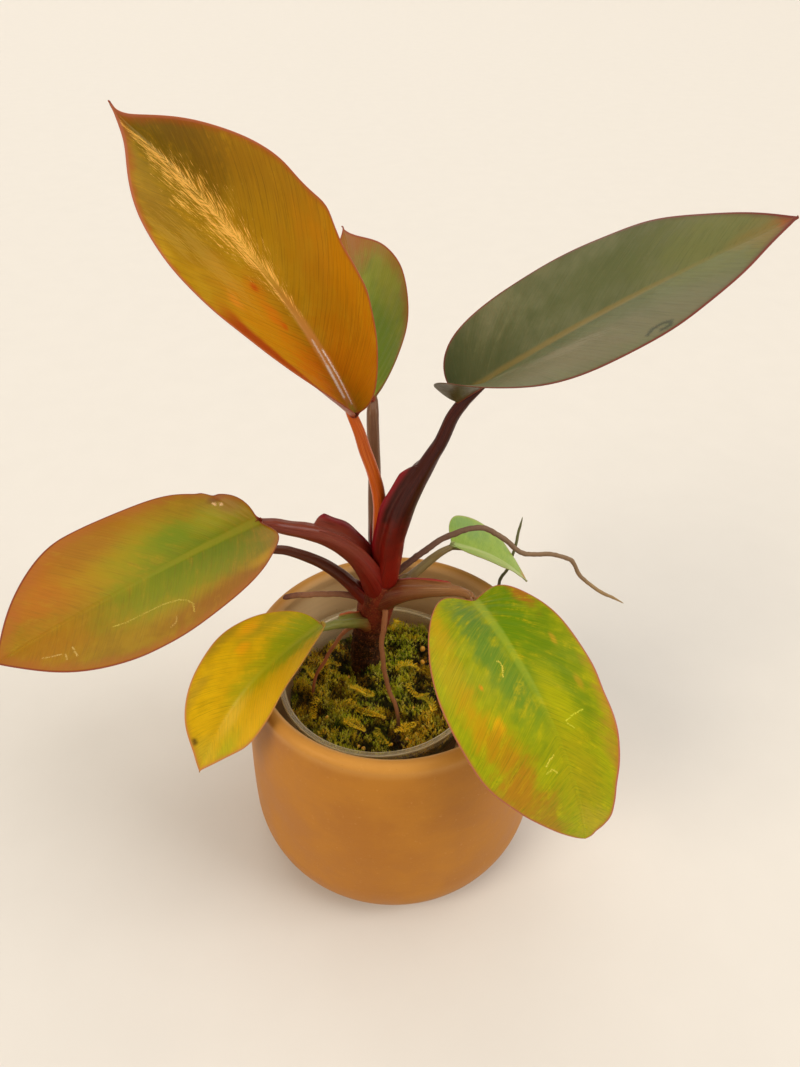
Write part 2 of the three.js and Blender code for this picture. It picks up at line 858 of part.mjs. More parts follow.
// A petiole ends at its blade; near the stem it gives way to the stem and to the petioles set before it.
const petioles = {};
for (const [name, petiole] of Object.entries(PETIOLES)) {
  const tipRadius = petiole.line.at(-1)[3] * PETIOLE_TAPER;
  const whole = { ...petiole, line: [...petiole.line, [...LEAVES[name].start, tipRadius]] };
  const body = solid(stalkGeometry(whole, petioleShape));
  petioles[name] = cut(body, [...cutters, bladeSeat(LEAVES[name])]);
  cutters.push(solid(stalkGeometry(whole, grown(petioleShape))));
}

const roots = {};
for (const [name, line] of Object.entries(ROOTS)) {
  roots[name] = cut(solid(stalkGeometry({ line }, rootShape(line))), cutters);
  cutters.push(solid(stalkGeometry({ line }, grown(rootShape(line)))));
}

addPiece("cover_pot", coverPot(), 0xb08a5c, 0.65);
addPiece("nursery_pot", fromSolid(nurseryPot()), 0xc8ccc8, 0.2, { transparent: true, opacity: 0.35 });
addPiece("potting_mix", fromSolid(cut(solid(pottingMix()), cutters)), 0x3a2a1c, 0.95);
addPiece("moss_carpet", fromSolid(cut(solid(mossCarpet()), cutters)), 0x5c5a1c, 0.9);
addPiece("stem", fromSolid(stem), 0x4e2a1a, 0.6);
for (const [name, body] of Object.entries(petioles)) {
  addPiece("petiole_" + name, fromSolid(body), PETIOLES[name].colour, 0.45);
}
for (const [name, body] of Object.entries(blades)) {
  addPiece("blade_" + name, fromSolid(body), LEAVES[name].colour, 0.4);
}
for (const [name, body] of Object.entries(roots)) {
  addPiece(name, fromSolid(body), 0x6e4630, 0.8);
}

export default plant;
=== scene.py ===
"""Potted Red Congo philodendron: a young plant in a clear nursery pot inside a round ceramic cover pot.

Sizes are millimetres unless a name says otherwise: +Z up, +X to the viewer's right, +Y away from the
viewer, with the origin in the middle of the cover pot's foot. Meshes are turned to metres when made.
"""

import bpy
import numpy as np
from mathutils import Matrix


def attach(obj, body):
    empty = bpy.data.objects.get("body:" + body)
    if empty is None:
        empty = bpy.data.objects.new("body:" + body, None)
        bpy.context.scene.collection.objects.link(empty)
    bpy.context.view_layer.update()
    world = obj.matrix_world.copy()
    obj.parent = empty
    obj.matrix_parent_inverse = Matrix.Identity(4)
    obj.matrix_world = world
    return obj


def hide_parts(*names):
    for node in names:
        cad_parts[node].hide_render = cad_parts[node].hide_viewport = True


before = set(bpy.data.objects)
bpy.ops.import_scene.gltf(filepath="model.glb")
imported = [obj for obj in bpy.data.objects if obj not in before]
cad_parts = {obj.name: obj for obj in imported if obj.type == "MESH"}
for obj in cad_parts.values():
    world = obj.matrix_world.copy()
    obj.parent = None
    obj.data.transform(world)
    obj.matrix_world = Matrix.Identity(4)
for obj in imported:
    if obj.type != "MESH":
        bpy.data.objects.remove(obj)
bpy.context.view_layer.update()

# Cover pot: stoneware turned on the wheel and dipped in a matt sand-coloured glaze, 120 mm high.
# The foot is flat, the widest place is low down, and the side leans in to a thick rolled lip.

MM = 0.001
COVER_FOOT_RADIUS = 50
COVER_BELLY = (74, 30)  # radius and height of the widest place
COVER_RIM_RADIUS = 66
COVER_LIP_RADIUS = 3.5
COVER_LIP_HEIGHT = 116.5
COVER_WALL = 5
COVER_FLOOR = 6
COVER_SIDES = 144


def bezier(start, pull_out, pull_in, end, count):
    """Curve through count points: (1-t)^3 start + 3(1-t)^2 t pull_out + 3(1-t)t^2 pull_in + t^3 end."""
    t = np.linspace(0, 1, count)[:, None]
    points = [np.array(p, float) for p in (start, pull_out, pull_in, end)]
    weights = [(1 - t) ** 3, 3 * (1 - t) ** 2 * t, 3 * (1 - t) * t**2, t**3]
    return sum(w * p for w, p in zip(weights, points))


def turned(profile, sides, centre=(0, 0)):
    """A profile of (radius, height) carried round the upright axis: (r cos a, r sin a, z)."""
    a = np.linspace(0, 2 * np.pi, sides, endpoint=False)
    r, z = profile[:, :1], profile[:, 1:]
    return np.stack([centre[0] + r * np.cos(a), centre[1] + r * np.sin(a), z + 0 * a], -1)


def ring_faces(rows, columns):
    """Quads between neighbouring rings of a grid whose rows close on themselves."""
    here = np.arange(columns)
    after = np.roll(here, -1)
    row = np.arange(rows - 1)[:, None] * columns
    corners = [row + here, row + after, row + columns + after, row + columns + here]
    return np.stack(corners, -1).reshape(-1, 4)


def closed_faces(rows, columns):
    """The quads of a grid of rings, and two fans that join its ends to two poles kept after its points."""
    here = np.arange(columns)
    after = np.roll(here, -1)
    last = (rows - 1) * columns
    pole = np.full(columns, rows * columns)
    fans = [[after, here, pole], [last + here, last + after, pole + 1]]
    return [ring_faces(rows, columns), *(np.stack(fan, -1) for fan in fans)]


def make_mesh(name, points, faces, marks=None):
    """A smooth-shaded object from points in millimetres; marks are three numbers kept at each point."""
    mesh = bpy.data.meshes.new(name)
    mesh.from_pydata((points * MM).tolist(), [], faces)
    mesh.update()
    mesh.shade_smooth()
    for key, values in (marks or {}).items():
        mark = mesh.attributes.new(key, "FLOAT_VECTOR", "POINT")
        mark.data.foreach_set("vector", np.ascontiguousarray(values, np.float32).ravel())
    piece = bpy.data.objects.new(name, mesh)
    bpy.context.scene.collection.objects.link(piece)
    return piece


def skin(name, rings, marks=None):
    """A closed piece from a grid of rings: each end ring is fanned to the mean of its own points."""

    def with_poles(grid):
        return np.vstack([grid.reshape(-1, 3), grid[[0, -1]].mean(1)])

    faces = [face for part in closed_faces(*rings.shape[:2]) for face in part.tolist()]
    kept = {key: with_poles(grid) for key, grid in (marks or {}).items()}
    return make_mesh(name, with_poles(rings), faces, kept)


def linear(colour):
    """A colour written as six hexadecimal digits, as linear light: ((c + 0.055) / 1.055)^2.4."""
    c = np.array([int(colour[i : i + 2], 16) for i in (0, 2, 4)]) / 255
    return np.where(c <= 0.04045, c / 12.92, ((c + 0.055) / 1.055) ** 2.4)


class Tone:
    """A number or vector that varies over a surface, as a node gives it. Its sums are new nodes."""

    def __init__(self, finish, socket):
        self.finish, self.socket = finish, socket

    def __add__(self, other):
        return self.finish.sum("ADD", self, other)

    def __sub__(self, other):
        return self.finish.sum("SUBTRACT", self, other)

    def __rsub__(self, other):
        return self.finish.sum("SUBTRACT", other, self)

    def __mul__(self, other):
        return self.finish.sum("MULTIPLY", self, other)

    def __truediv__(self, other):
        return self.finish.sum("DIVIDE", self, other)

    def __abs__(self):
        return self.finish.sum("ABSOLUTE", self)

    def length(self):
        return self.finish.sum("LENGTH", self)


class Finish:
    """One material. Its colour starts as a plain ground, and coats are laid over it one by one. Shader
    values are given by the sockets' names, with _ for a space."""

    def __init__(self, name, ground, **sockets):
        self.material = bpy.data.materials.new(name)
        self.material.use_nodes = True
        self.tree = self.material.node_tree
        self.colour = ground
        self.set(**sockets)

    def set(self, **sockets):
        for socket, value in sockets.items():
            self.feed(self.tree.nodes["Principled BSDF"].inputs[socket.replace("_", " ")], value)

    def feed(self, socket, value):
        if isinstance(value, Tone):
            self.tree.links.new(value.socket, socket)
        elif isinstance(value, str):
            socket.default_value = (*linear(value), 1)
        else:
            socket.default_value = value

    def node(self, kind, feeds, output=0, **settings):
        made = self.tree.nodes.new("ShaderNode" + kind)
        for key, value in settings.items():
            setattr(made, key, value)
        for socket, value in feeds.items():
            self.feed(made.inputs[socket], value)
        return Tone(self, made.outputs[output])

    def sum(self, operation, *values):
        """A sum of numbers, or of vectors where one of the values is a vector."""
        kinds = [value.socket.type if isinstance(value, Tone) else type(value) for value in values]
        vectors = "VECTOR" in kinds or tuple in kinds
        output = "Value" if not vectors or operation in ("LENGTH", "DOT_PRODUCT") else "Vector"
        kind = "VectorMath" if vectors else "Math"
        return self.node(kind, dict(enumerate(values)), output, operation=operation)

    def place(self):
        return self.node("TexCoord", {}, "Object")

    def parts(self, vector):
        first = self.node("SeparateXYZ", {0: vector})
        return [Tone(self, output) for output in first.socket.node.outputs]

    def mark(self, name):
        """The three numbers kept at each point under a name."""
        return self.parts(self.node("Attribute", {}, "Vector", attribute_name=name))

    def join(self, *parts):
        return self.node("CombineXYZ", dict(enumerate(parts)))

    def step(self, value, low, high, to_low=0.0, to_high=1.0):
        """Rises smoothly from to_low to to_high as value goes from low to high."""
        feeds = {"Value": value, "From Min": low, "From Max": high, "To Min": to_low, "To Max": to_high}
        return self.node("MapRange", feeds, interpolation_type="SMOOTHSTEP")

    def noise(self, place, scale, detail=3.0, roughness=0.55):
        feeds = {"Vector": place, "Scale": scale, "Detail": detail, "Roughness": roughness}
        return self.node("TexNoise", feeds, "Fac")

    def mix(self, share, a, b):
        return self.node("Mix", {0: share, 6: a, 7: b}, 2, data_type="RGBA")

    def coat(self, share, colour):
        """Lays a colour over the ones before: not at all where share is 0, fully where it is 1."""
        self.colour = self.mix(share, self.colour, colour)

    def paint(self, value, low, high, colour, strength=1.0):
        """Lays a colour that grows from none where value is low to its strength where value is high."""
        self.coat(self.step(value, low, high, 0.0, strength), colour)

    def bump(self, height, depth_mm, strength=1.0, under=None):
        feeds = {"Height": height, "Distance": depth_mm * MM, "Strength": strength}
        if under is not None:
            feeds["Normal"] = under
        return self.node("Bump", feeds)

    def close(self, **sockets):
        self.set(Base_Color=self.colour, **sockets)
        return self.material


belly_radius, belly_height = COVER_BELLY
side_low = bezier((COVER_FOOT_RADIUS, 0), (66, 0), (belly_radius, 12), COVER_BELLY, 24)
neck_radius = COVER_RIM_RADIUS + COVER_LIP_RADIUS
neck = (neck_radius, COVER_LIP_HEIGHT)
side_high = bezier(COVER_BELLY, (belly_radius, 2 * belly_height), (neck_radius + 1.5, 95), neck, 36)
cover_outside = np.vstack([side_low, side_high[1:]])
lip_turn = np.linspace(0, np.pi, 15)[1:, None]
lip_reach = COVER_LIP_RADIUS * np.hstack([np.cos(lip_turn), np.sin(lip_turn)])
cover_lip = lip_reach + [COVER_RIM_RADIUS, COVER_LIP_HEIGHT]
under_lip = (cover_outside[:, 1] < COVER_LIP_HEIGHT - 5) & (cover_outside[:, 1] > COVER_FLOOR + 4)
cover_inside = cover_outside[under_lip][::-1] - [COVER_WALL, 0]
floor_corner = bezier(cover_inside[-1], cover_inside[-1] - [2, 3], (58, COVER_FLOOR), (50, COVER_FLOOR), 8)
cover_foot = np.array([[2, 1], [40, 1], [43, 0.8], [44, 0.1], [45, 0], [49, 0]])
cover_floor = np.array([[30, COVER_FLOOR], [2, COVER_FLOOR]])
cover_profile = np.vstack([cover_foot, cover_outside, cover_lip, cover_inside, floor_corner[1:], cover_floor])
cover_rings = turned(cover_profile, COVER_SIDES)
# From 0 on the lip to 1 on the inner wall, over ten rings of the profile: how much painted light makes the
# inner wall paler.
past_lip = np.arange(len(cover_profile)) - len(cover_foot) - len(cover_outside) - 7
painted_inner_light = np.clip(past_lip, 0, 10)[:, None, None] / 10 * [1, 0, 0] + 0 * cover_rings
cover_pot = skin("cover_pot_stoneware", cover_rings, {"painted_inner_light": painted_inner_light})

glaze = Finish("matt_sand_glaze", "a3671b", Coat_Weight=0.05, Coat_Roughness=0.35)
glaze.set(Specular_IOR_Level=0.25, Specular_Tint="ffcc88")
glaze_place = glaze.place()
glaze_height = glaze.parts(glaze_place)[2]
clouds = glaze.noise(glaze_place, 38, 4.0, 0.6)
turning = glaze.noise(glaze_place * (0.04, 0.04, 1.0), 420, 3.0, 0.6)
glaze.paint(clouds, 0.35, 0.68, "ad7121")
# Painted highlight: a paler band along the top of the rolled lip.
glaze.paint(glaze_height, 0.1115, 0.1175, "cc9850", 0.45)
# Painted light: the inner wall has the same glaze as the outside, but is painted much paler so it looks lit
# inside the pot.
glaze.coat(glaze.mark("painted_inner_light")[0] * 0.92, "f8d8a4")
glaze.paint(glaze.noise(glaze_place, 900, 2.0, 0.5), 0.7, 0.78, "7d5024", 0.35)
glaze.paint(glaze.noise(glaze_place, 520, 2.0, 0.6), 0.62, 0.8, "cf9c5c", 0.22)
glaze.paint(turning, 0.3, 0.7, "8c5c2c", 0.07)
glaze.paint(glaze_height, 0.0022, 0.0005, "9a7654", 0.85)
glaze_skin = glaze.bump(turning, 0.05, 0.4)
glaze_skin = glaze.bump(glaze.noise(glaze_place, 1300, 3.0, 0.6), 0.09, 0.6, glaze_skin)
glaze_gloss = glaze.step(clouds, 0.3, 0.7, 0.42, 0.54)
cover_pot.data.materials.append(glaze.close(Roughness=glaze_gloss, Normal=glaze_skin))
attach(cover_pot, "root")
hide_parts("cover_pot")

# Clear nursery pot: 1 mm blow-moulded plastic with a flange that turns out and down, and seven drain
# holes. It stands on the cover pot's floor, a little to the left of the middle and towards the back.

NURSERY_CENTRE = np.array([-7, 5.5])
NURSERY_BASE = 6.3
NURSERY_TOP = 95.3
NURSERY_FOOT_RADIUS = 36
NURSERY_MOUTH_RADIUS = 47
NURSERY_RIM_RADIUS = 51
NURSERY_WALL = 1
NURSERY_SIDES = 144
FLANGE_MIDDLE = 48.7
DRAIN_RADIUS = 3.5
DRAIN_RING = 25


def nursery_inside(z):
    """Inner radius at a height: straight from the foot's to the mouth's."""
    share = (z - NURSERY_BASE) / (NURSERY_TOP - NURSERY_BASE)
    return NURSERY_FOOT_RADIUS + (NURSERY_MOUTH_RADIUS - NURSERY_FOOT_RADIUS) * share


def from_drains(points):
    """Offsets of points from the middles of the seven drain holes, one in the middle and six round it."""
    return points[:, None, :2] - NURSERY_CENTRE - drain_places


nursery_floor_z = NURSERY_BASE + NURSERY_WALL
floor_radii = np.append(np.linspace(0.6, 34, 44), 35)
floor_line = np.stack([floor_radii, np.full(45, nursery_floor_z)], -1)
wall_z = np.linspace(nursery_floor_z + 1.8, NURSERY_TOP - 1.2, 30)
wall_line = np.stack([nursery_inside(wall_z), wall_z], -1)
mouth, brim = (NURSERY_MOUTH_RADIUS, NURSERY_TOP), (NURSERY_RIM_RADIUS - NURSERY_WALL, NURSERY_TOP)
mouth_bend = bezier(*(np.array(mouth) + step for step in ([0, -0.9], [0.2, -0.2], [0.5, 0], [1, 0])), 7)
brim_bend = bezier(*(np.array(brim) - step for step in ([0.6, 0], [0.2, 0], [0, 0.2], [0, 0.6])), 7)
nursery_profile = np.vstack([floor_line, wall_line, mouth_bend, brim_bend, np.array([brim]) - [0, 3.5]])
nursery_points = turned(nursery_profile, NURSERY_SIDES, NURSERY_CENTRE).reshape(-1, 3)
drain_turn = np.radians(60 * np.arange(6))
drain_places = np.vstack([[0, 0], DRAIN_RING * np.stack([np.cos(drain_turn), np.sin(drain_turn)], -1)])
# Floor points within half a millimetre of a hole's edge are drawn onto it, and faces inside it left out.
drain_offsets = from_drains(nursery_points)
drain_reach = np.linalg.norm(drain_offsets, axis=-1)
nearest = drain_reach.argmin(1)
own_reach = drain_reach.min(1)
own_offset = drain_offsets[np.arange(len(nearest)), nearest]
on_floor = np.repeat(np.arange(len(nursery_profile)) < 44, NURSERY_SIDES)
at_edge = on_floor & (abs(own_reach - DRAIN_RADIUS) < 0.55)
drawn = NURSERY_CENTRE + drain_places[nearest] + own_offset * (DRAIN_RADIUS / own_reach.clip(0.1))[:, None]
nursery_points[at_edge, :2] = drawn[at_edge]
nursery_faces = ring_faces(len(nursery_profile), NURSERY_SIDES)
face_middle = nursery_points[nursery_faces].mean(1)
face_reach = np.linalg.norm(from_drains(face_middle), axis=-1).min(1)
in_hole = (face_reach < DRAIN_RADIUS - 0.1) & (face_middle[:, 2] < nursery_floor_z + 0.5)
nursery_pot = make_mesh("nursery_pot_clear", nursery_points, nursery_faces[~in_hole].tolist())
wall_modifier = nursery_pot.modifiers.new("wall", "SOLIDIFY")
wall_modifier.thickness = NURSERY_WALL * MM
wall_modifier.offset = 1

plastic = Finish("clear_plastic", "d8c8a0", IOR=1.5)
plastic_place = plastic.place()
plastic_height = plastic.parts(plastic_place)[2]
from_axis = (plastic_place - (*(NURSERY_CENTRE * MM), 0.0)) * (1.0, 1.0, 0.0)
# Painted highlights: the flange's inner and outer edges are made more opaque, so they show as thin pale
# lines. The top band of the pot is also a little more opaque.
flange_edge_highlight = plastic.step(abs(from_axis.length() - FLANGE_MIDDLE * MM), 0.0007, 0.001, 0.14, 0.5)
on_top = plastic.step(plastic_height, 0.0942, 0.095)
milky_with_edge_highlights = plastic.step(plastic_height, 0.089, 0.0935, 0.08, 0.2) + on_top * flange_edge_highlight
scuffs = plastic.step(plastic.noise(plastic_place, 90, 3.0, 0.6), 0.55, 0.8, 0.07, 0.16)
plastic_skin = plastic.bump(plastic.noise(plastic_place, 40, 2.0), 0.02, 0.2)
nursery_pot.data.materials.append(plastic.close(Roughness=scuffs, Normal=plastic_skin, Alpha=milky_with_edge_highlights))
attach(nursery_pot, "root")
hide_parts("nursery_pot")

# Potting mix: dark, crumbly peat and bark that fills the nursery pot to 78 mm and shows between the
# moss cushions. Loose crumbs of bark lie on it in the hollows round the stem and at the wall.

MIX_TOP = 78
MIX_SIDES = 120
rng = np.random.default_rng(11)


def crossing_waves(x, y, z, pitch, count=7, seed=3):
    """Smooth unevenness from -1 to 1: the mean of sines that run in many directions, pitch apart."""
    draw = np.random.default_rng(seed)
    total = 0
    for _ in range(count):
        way = draw.normal(size=3)
        way *= 2 * np.pi / pitch * draw.uniform(0.7, 1.4) / np.linalg.norm(way)
        total = total + np.sin(way[0] * x + way[1] * y + way[2] * z + draw.uniform(0, 6.3))
    return total / count**0.5 / 1.5


def push(rings, amount):
    """Moves each point of a grid of rings along the surface's own outward direction."""
    around = np.roll(rings, -1, 1) - np.roll(rings, 1, 1)
    along = np.gradient(rings, axis=0)
    out = np.cross(around, along)
    out /= np.linalg.norm(out, axis=-1, keepdims=True).clip(1e-9)
    return rings + out * amount[..., None]


mix_foot = nursery_floor_z + 0.6
mix_radii = np.linspace(1, nursery_inside(mix_foot) - 2, 8)
mix_low = np.stack([mix_radii, np.full(8, mix_foot)], -1)
mix_z = np.linspace(mix_foot + 2, MIX_TOP - 1.5, 44)
mix_side = np.stack([nursery_inside(mix_z) - 0.9, mix_z], -1)
mix_top_radii = np.linspace(nursery_inside(MIX_TOP) - 1.6, 1, 30)
mix_top = np.stack([mix_top_radii, np.full(30, MIX_TOP)], -1)
mix_rings = turned(np.vstack([mix_low, mix_side, mix_top]), MIX_SIDES, NURSERY_CENTRE)
mix_lumps = sum(crossing_waves(*np.moveaxis(mix_rings, -1, 0), pitch) for pitch in (5, 2.2))
mix_rings = push(mix_rings, 0.35 * mix_lumps.clip(-1, 0.6))
potting_mix = skin("potting_mix_body", mix_rings)

soil = Finish("potting_mix", "1c130b", Roughness=0.95)
soil_place = soil.place()
soil_grain = soil.noise(soil_place, 420, 5.0, 0.7)
soil_chips = soil.node("TexVoronoi", {"Vector": soil_place, "Scale": 330}, "Color")
soil.paint(soil_grain, 0.3, 0.7, "4a3420")
soil.paint(soil.parts(soil_chips)[0], 0.8, 0.9, "6a4c2e", 0.7)
potting_mix.data.materials.append(soil.close(Normal=soil.bump(soil_grain, 0.7, 0.9)))
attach(potting_mix, "root")
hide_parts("potting_mix")

# Moss: a living carpet over the whole top of the mix, of upright shoots 3 to 6 mm high in soft cushions,
# green in the light and golden brown where it is dry, with darker hollows round the stem. Shade is painted
# on the shoots: dark at their feet, in the gaps between cushions and in the hollows.

MOSS_TOP = 86
MOSS_LUMP = 1.4
MOSS_CLUMP = 2.0
MOSS_EDGE_DROP = 2.6
MOSS_RADIUS = 45.6
MOSS_SIDES = 144
BED_BELOW = 2.6  # how far the bed lies below the carpet's top, and how much deeper in a hollow
HOLLOW_DEPTH = 2.5
GOLDEN_TURN = 2.39996
SHOOT_LEAVES = 9
STEM_AT = np.array([-14.5, 20])
# Moss banked up by the stem and at the back: place, height and reach. Hollows: place and reach.
BANKS = [(-6.5, 5.5, 8.5, 6.5), (18, 34, 6, 17)]
HOLLOWS = [
    (-20, 35, 9), (-6, 20, 8), (23, -6, 8), (-42, 8, 5), (-32, 35, 7), (25, 18, 6.5), (9, -31, 5),
    (-24, 19, 5), (-8, -27, 4), (-2, -12, 4),
]


def moss_clump(x, y):
    """From -1 in the gaps between small cushions to 1 on top of them."""
    return np.clip(1.5 * crossing_waves(x, y, 0, 11, 9, seed=4), -1, 1)


def moss_hollow(x, y):
    """How deep in a hollow a place is, 0 to 1: the largest of round soft dips."""
    dips = [np.exp(-((x - a) ** 2 + (y - b) ** 2) / r**2) for a, b, r in HOLLOWS]
    return np.max(dips, axis=0)


def moss_height(x, y):
    """Top of the carpet at a place from the pot's middle: broad and small cushions and banks of
    height h exp(-(distance / reach)^2), falling to the wall."""
    bank = sum(high * np.exp(-((x - a) ** 2 + (y - b) ** 2) / reach**2) for a, b, high, reach in BANKS)
    share = np.hypot(x, y) / MOSS_RADIUS
    broad = np.sin(x / 7.3 + 0.6) * np.cos(y / 6.1 - 0.4)
    small = np.sin(x / 3.7 + y / 4.9) / 2
    lumps = MOSS_LUMP * (broad + small) + MOSS_CLUMP * moss_clump(x, y)
    return MOSS_TOP + lumps + bank - MOSS_EDGE_DROP * share**6


def in_pot(x, y, z):
    """Points at places from the nursery pot's middle."""
    return np.stack([x + NURSERY_CENTRE[0], y + NURSERY_CENTRE[1], z], -1)


carpet_share = np.concatenate([np.linspace(0.02, 1, 60) ** 0.8, np.full(6, 1)])[::-1]
carpet_turn = np.linspace(0, 2 * np.pi, MOSS_SIDES, endpoint=False)
carpet_x = MOSS_RADIUS * carpet_share[:, None] * np.cos(carpet_turn)
carpet_y = MOSS_RADIUS * carpet_share[:, None] * np.sin(carpet_turn)
carpet_z = moss_height(carpet_x, carpet_y) - BED_BELOW - HOLLOW_DEPTH * moss_hollow(carpet_x, carpet_y)
carpet_z += 0.7 * crossing_waves(carpet_x, carpet_y, 0, 4.5, seed=5)
carpet_z[:6] = MIX_TOP + 0.5 + (carpet_z[6] - MIX_TOP - 0.5) * np.linspace(0, 0.85, 6)[:, None]
moss_carpet = skin("moss_carpet_bed", in_pot(carpet_x, carpet_y, carpet_z))

bed = Finish("moss_bed", "16140a", Roughness=0.95)
bed_grain = bed.noise(bed.place(), 700, 5.0, 0.7)
bed.paint(bed_grain, 0.32, 0.7, "4a4416")
moss_carpet.data.materials.append(bed.close(Normal=bed.bump(bed_grain, 0.8, 0.9)))
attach(moss_carpet, "root")
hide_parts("moss_carpet")


def spears(foot, way, length, width, tones, name):
    """Many small pointed leaves as closed spears: three corners round the foot, square to the way that
    each leaf points, joined to its tip. tones keeps three numbers for each leaf."""
    way = way / np.linalg.norm(way, axis=-1, keepdims=True)
    side = np.cross(way, [0.31, 0.87, 0.38])
    side /= np.linalg.norm(side, axis=-1, keepdims=True)
    other = np.cross(way, side)
    turn = np.radians([0, 120, 240])[:, None, None]
    round_foot = side * np.cos(turn) + 0.45 * other * np.sin(turn)
    corners = foot + way * length[:, None] * 0.25 + round_foot * width[:, None] / 2
    points = np.concatenate([corners, [foot], [foot + way * length[:, None]]]).swapaxes(0, 1)
    pattern = np.array([[0, 1, 4], [1, 2, 4], [2, 0, 4], [1, 0, 3], [2, 1, 3], [0, 2, 3]])
    faces = pattern + 5 * np.arange(len(foot))[:, None, None]
    marks = np.repeat(tones, 5, axis=0)
    # The tip point of each leaf gets twice the painted light.
    marks[4::5, 2] *= 2
    return make_mesh(name, points.reshape(-1, 3), faces.reshape(-1, 3).tolist(), {"tone": marks})


def shoot_places(count, seed):
    """Even, irregular places over the carpet: a sunflower spiral with each place moved a little."""
    draw = np.random.default_rng(seed)
    k = np.arange(count) + 0.5
    r = (MOSS_RADIUS - 0.8) * np.sqrt(k / count)
    a = k * GOLDEN_TURN + seed
    x = r * np.cos(a) + draw.normal(0, 0.5, count)
    y = r * np.sin(a) + draw.normal(0, 0.5, count)
    inside = np.hypot(x, y) < MOSS_RADIUS - 0.6
    clear = np.hypot(*(np.stack([x, y], -1) + NURSERY_CENTRE - STEM_AT).T) > 7.6
    gap = np.clip(-moss_clump(x, y), 0, 1)
    bare = np.maximum(0.75 * moss_hollow(x, y), 0.5 * gap)
    kept = inside & clear & (draw.random(count) > bare)
    return x[kept], y[kept]


def moss_shoots(name, count, seed, height_share):
    """Shoots as spirals of little leaves: leaf k stands at share k/n of its shoot, turned 137 degrees
    from the one before, and points outwards below and upwards at the top."""
    draw = np.random.default_rng(seed)
    x, y = shoot_places(count, seed)
    hollow = moss_hollow(x, y)
    tall = (2.6 + 1.8 * draw.random(len(x))) * height_share * (1 - 0.45 * hollow)
    lean = draw.normal(0, 0.35, (len(x), 2)) - 0.004 * np.stack([x, y], -1)
    up = np.concatenate([lean, np.ones((len(x), 1))], -1)
    k = np.arange(SHOOT_LEAVES)
    share = (k + 0.6) / SHOOT_LEAVES
    ground = in_pot(x, y, moss_height(x, y) - 2.4 - HOLLOW_DEPTH * hollow)
    foot = ground[:, None] + up[:, None] * (tall[:, None] * share)[..., None]
    spin = k * 2.4 + draw.uniform(0, 6.3, (len(x), 1))
    spread = 1 - 0.75 * share**2
    out = np.stack([np.cos(spin) * spread, np.sin(spin) * spread], -1)
    way = np.concatenate([out, np.broadcast_to(0.25 + share, spin.shape)[..., None]], -1)
    way = way + up[:, None] * 0.3
    size = ((1.5 - 0.5 * share) * (0.8 + 0.4 * draw.random((len(x), 1)))).ravel()
    dry = crossing_waves(x, y, 0, 26, seed=9)[:, None] + 0 * share
    # Painted light of each leaf: more up the shoot and on cushion tops, less in the gaps and hollows;
    # moss_finish paints shade where it is low.
    lit = 0.5 * share * ((0.6 + 0.62 * moss_clump(x, y)) * (1 - 0.7 * hollow))[:, None]
    chance = np.broadcast_to(draw.random((len(x), 1)), spin.shape)
    tones = np.stack([chance, dry, lit], -1).reshape(-1, 3)
    return spears(foot.reshape(-1, 3), way.reshape(-1, 3), size, 0.42 * size, tones, name)


def moss_finish(name, low, young, dry, tip):
    """Moss leaves: painted shade, dark at the foot of a shoot and in the gaps and hollows, young or dry by
    cushion, paler at the tips.
    """
    made = Finish(name, young, Roughness=0.7, Subsurface_Weight=0.15, Subsurface_Scale=0.001)
    made.set(Specular_IOR_Level=0.15)
    chance, dryness, painted_light_share = made.mark("tone")
    patch = made.noise(made.place(), 80, 3.0, 0.6)
    made.paint(dryness, -0.5, 0.7, dry)
    made.paint(chance, 0.4, 0.9, tip, 0.9)
    # Painted shade: the low colour, near black, where a leaf's painted light is small.
    made.paint(painted_light_share, 0.4, 0.04, low)
    made.paint(patch, 0.5, 0.66, dry, 0.6)
    made.paint(patch, 0.5, 0.36, "5c7a14", 0.6)
    return made.close()


green_moss = moss_finish("moss_green", "0c0e06", "b4c418", "d0a818", "fff04c")
gold_moss = moss_finish("moss_gold", "120e06", "d0c81c", "f0b41c", "fff070")
for moss_name, moss_count, moss_seed, moss_tall, moss_material in (
    ("moss_shoots_green", 3600, 21, 1.0, green_moss),
    ("moss_shoots_gold", 3200, 22, 1.08, gold_moss),
):
    shoots = moss_shoots(moss_name, moss_count, moss_seed, moss_tall)
    shoots.data.materials.append(moss_material)
    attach(shoots, "root")

# Feather moss and grit: a few yellow fronds, feathered like a fern, creep over the cushions towards the
# front, and pale beads of slow-release food and grit lie on the moss near the rim.

# Fronds: place, heading in degrees and length. Beads: place and size.
FRONDS = [
    (-16, -12, -35, 20), (0, -27, -85, 11), (14, -1, -50, 12), (-20, 14, 200, 12), (8, 8, 20, 11),
    (-6, -30, 150, 11), (26, -20, 100, 12), (-30, -10, 250, 10), (-2, -8, 170, 12), (18, -24, 220, 11),
    (-34, 4, 120, 10), (6, 34, 60, 10),
]
BEADS = [
    (-6.9, -37, 1.0), (6.4, -36.4, 0.8), (13.6, -34.6, 0.8), (2.2, -20.1, 0.7), (-9.3, -35.6, 0.8),
    (22.3, 23.1, 1.5), (22.1, 14.5, 1.3), (30, -2, 0.9), (-16, 6, 0.7), (-25, -22, 0.8), (17, -16, 0.6),
]
SPRIG_TILTS = [0.7, -0.7, 0.6, -0.6, 0.5, -0.5, 0]
CRUMB_COUNT = 260


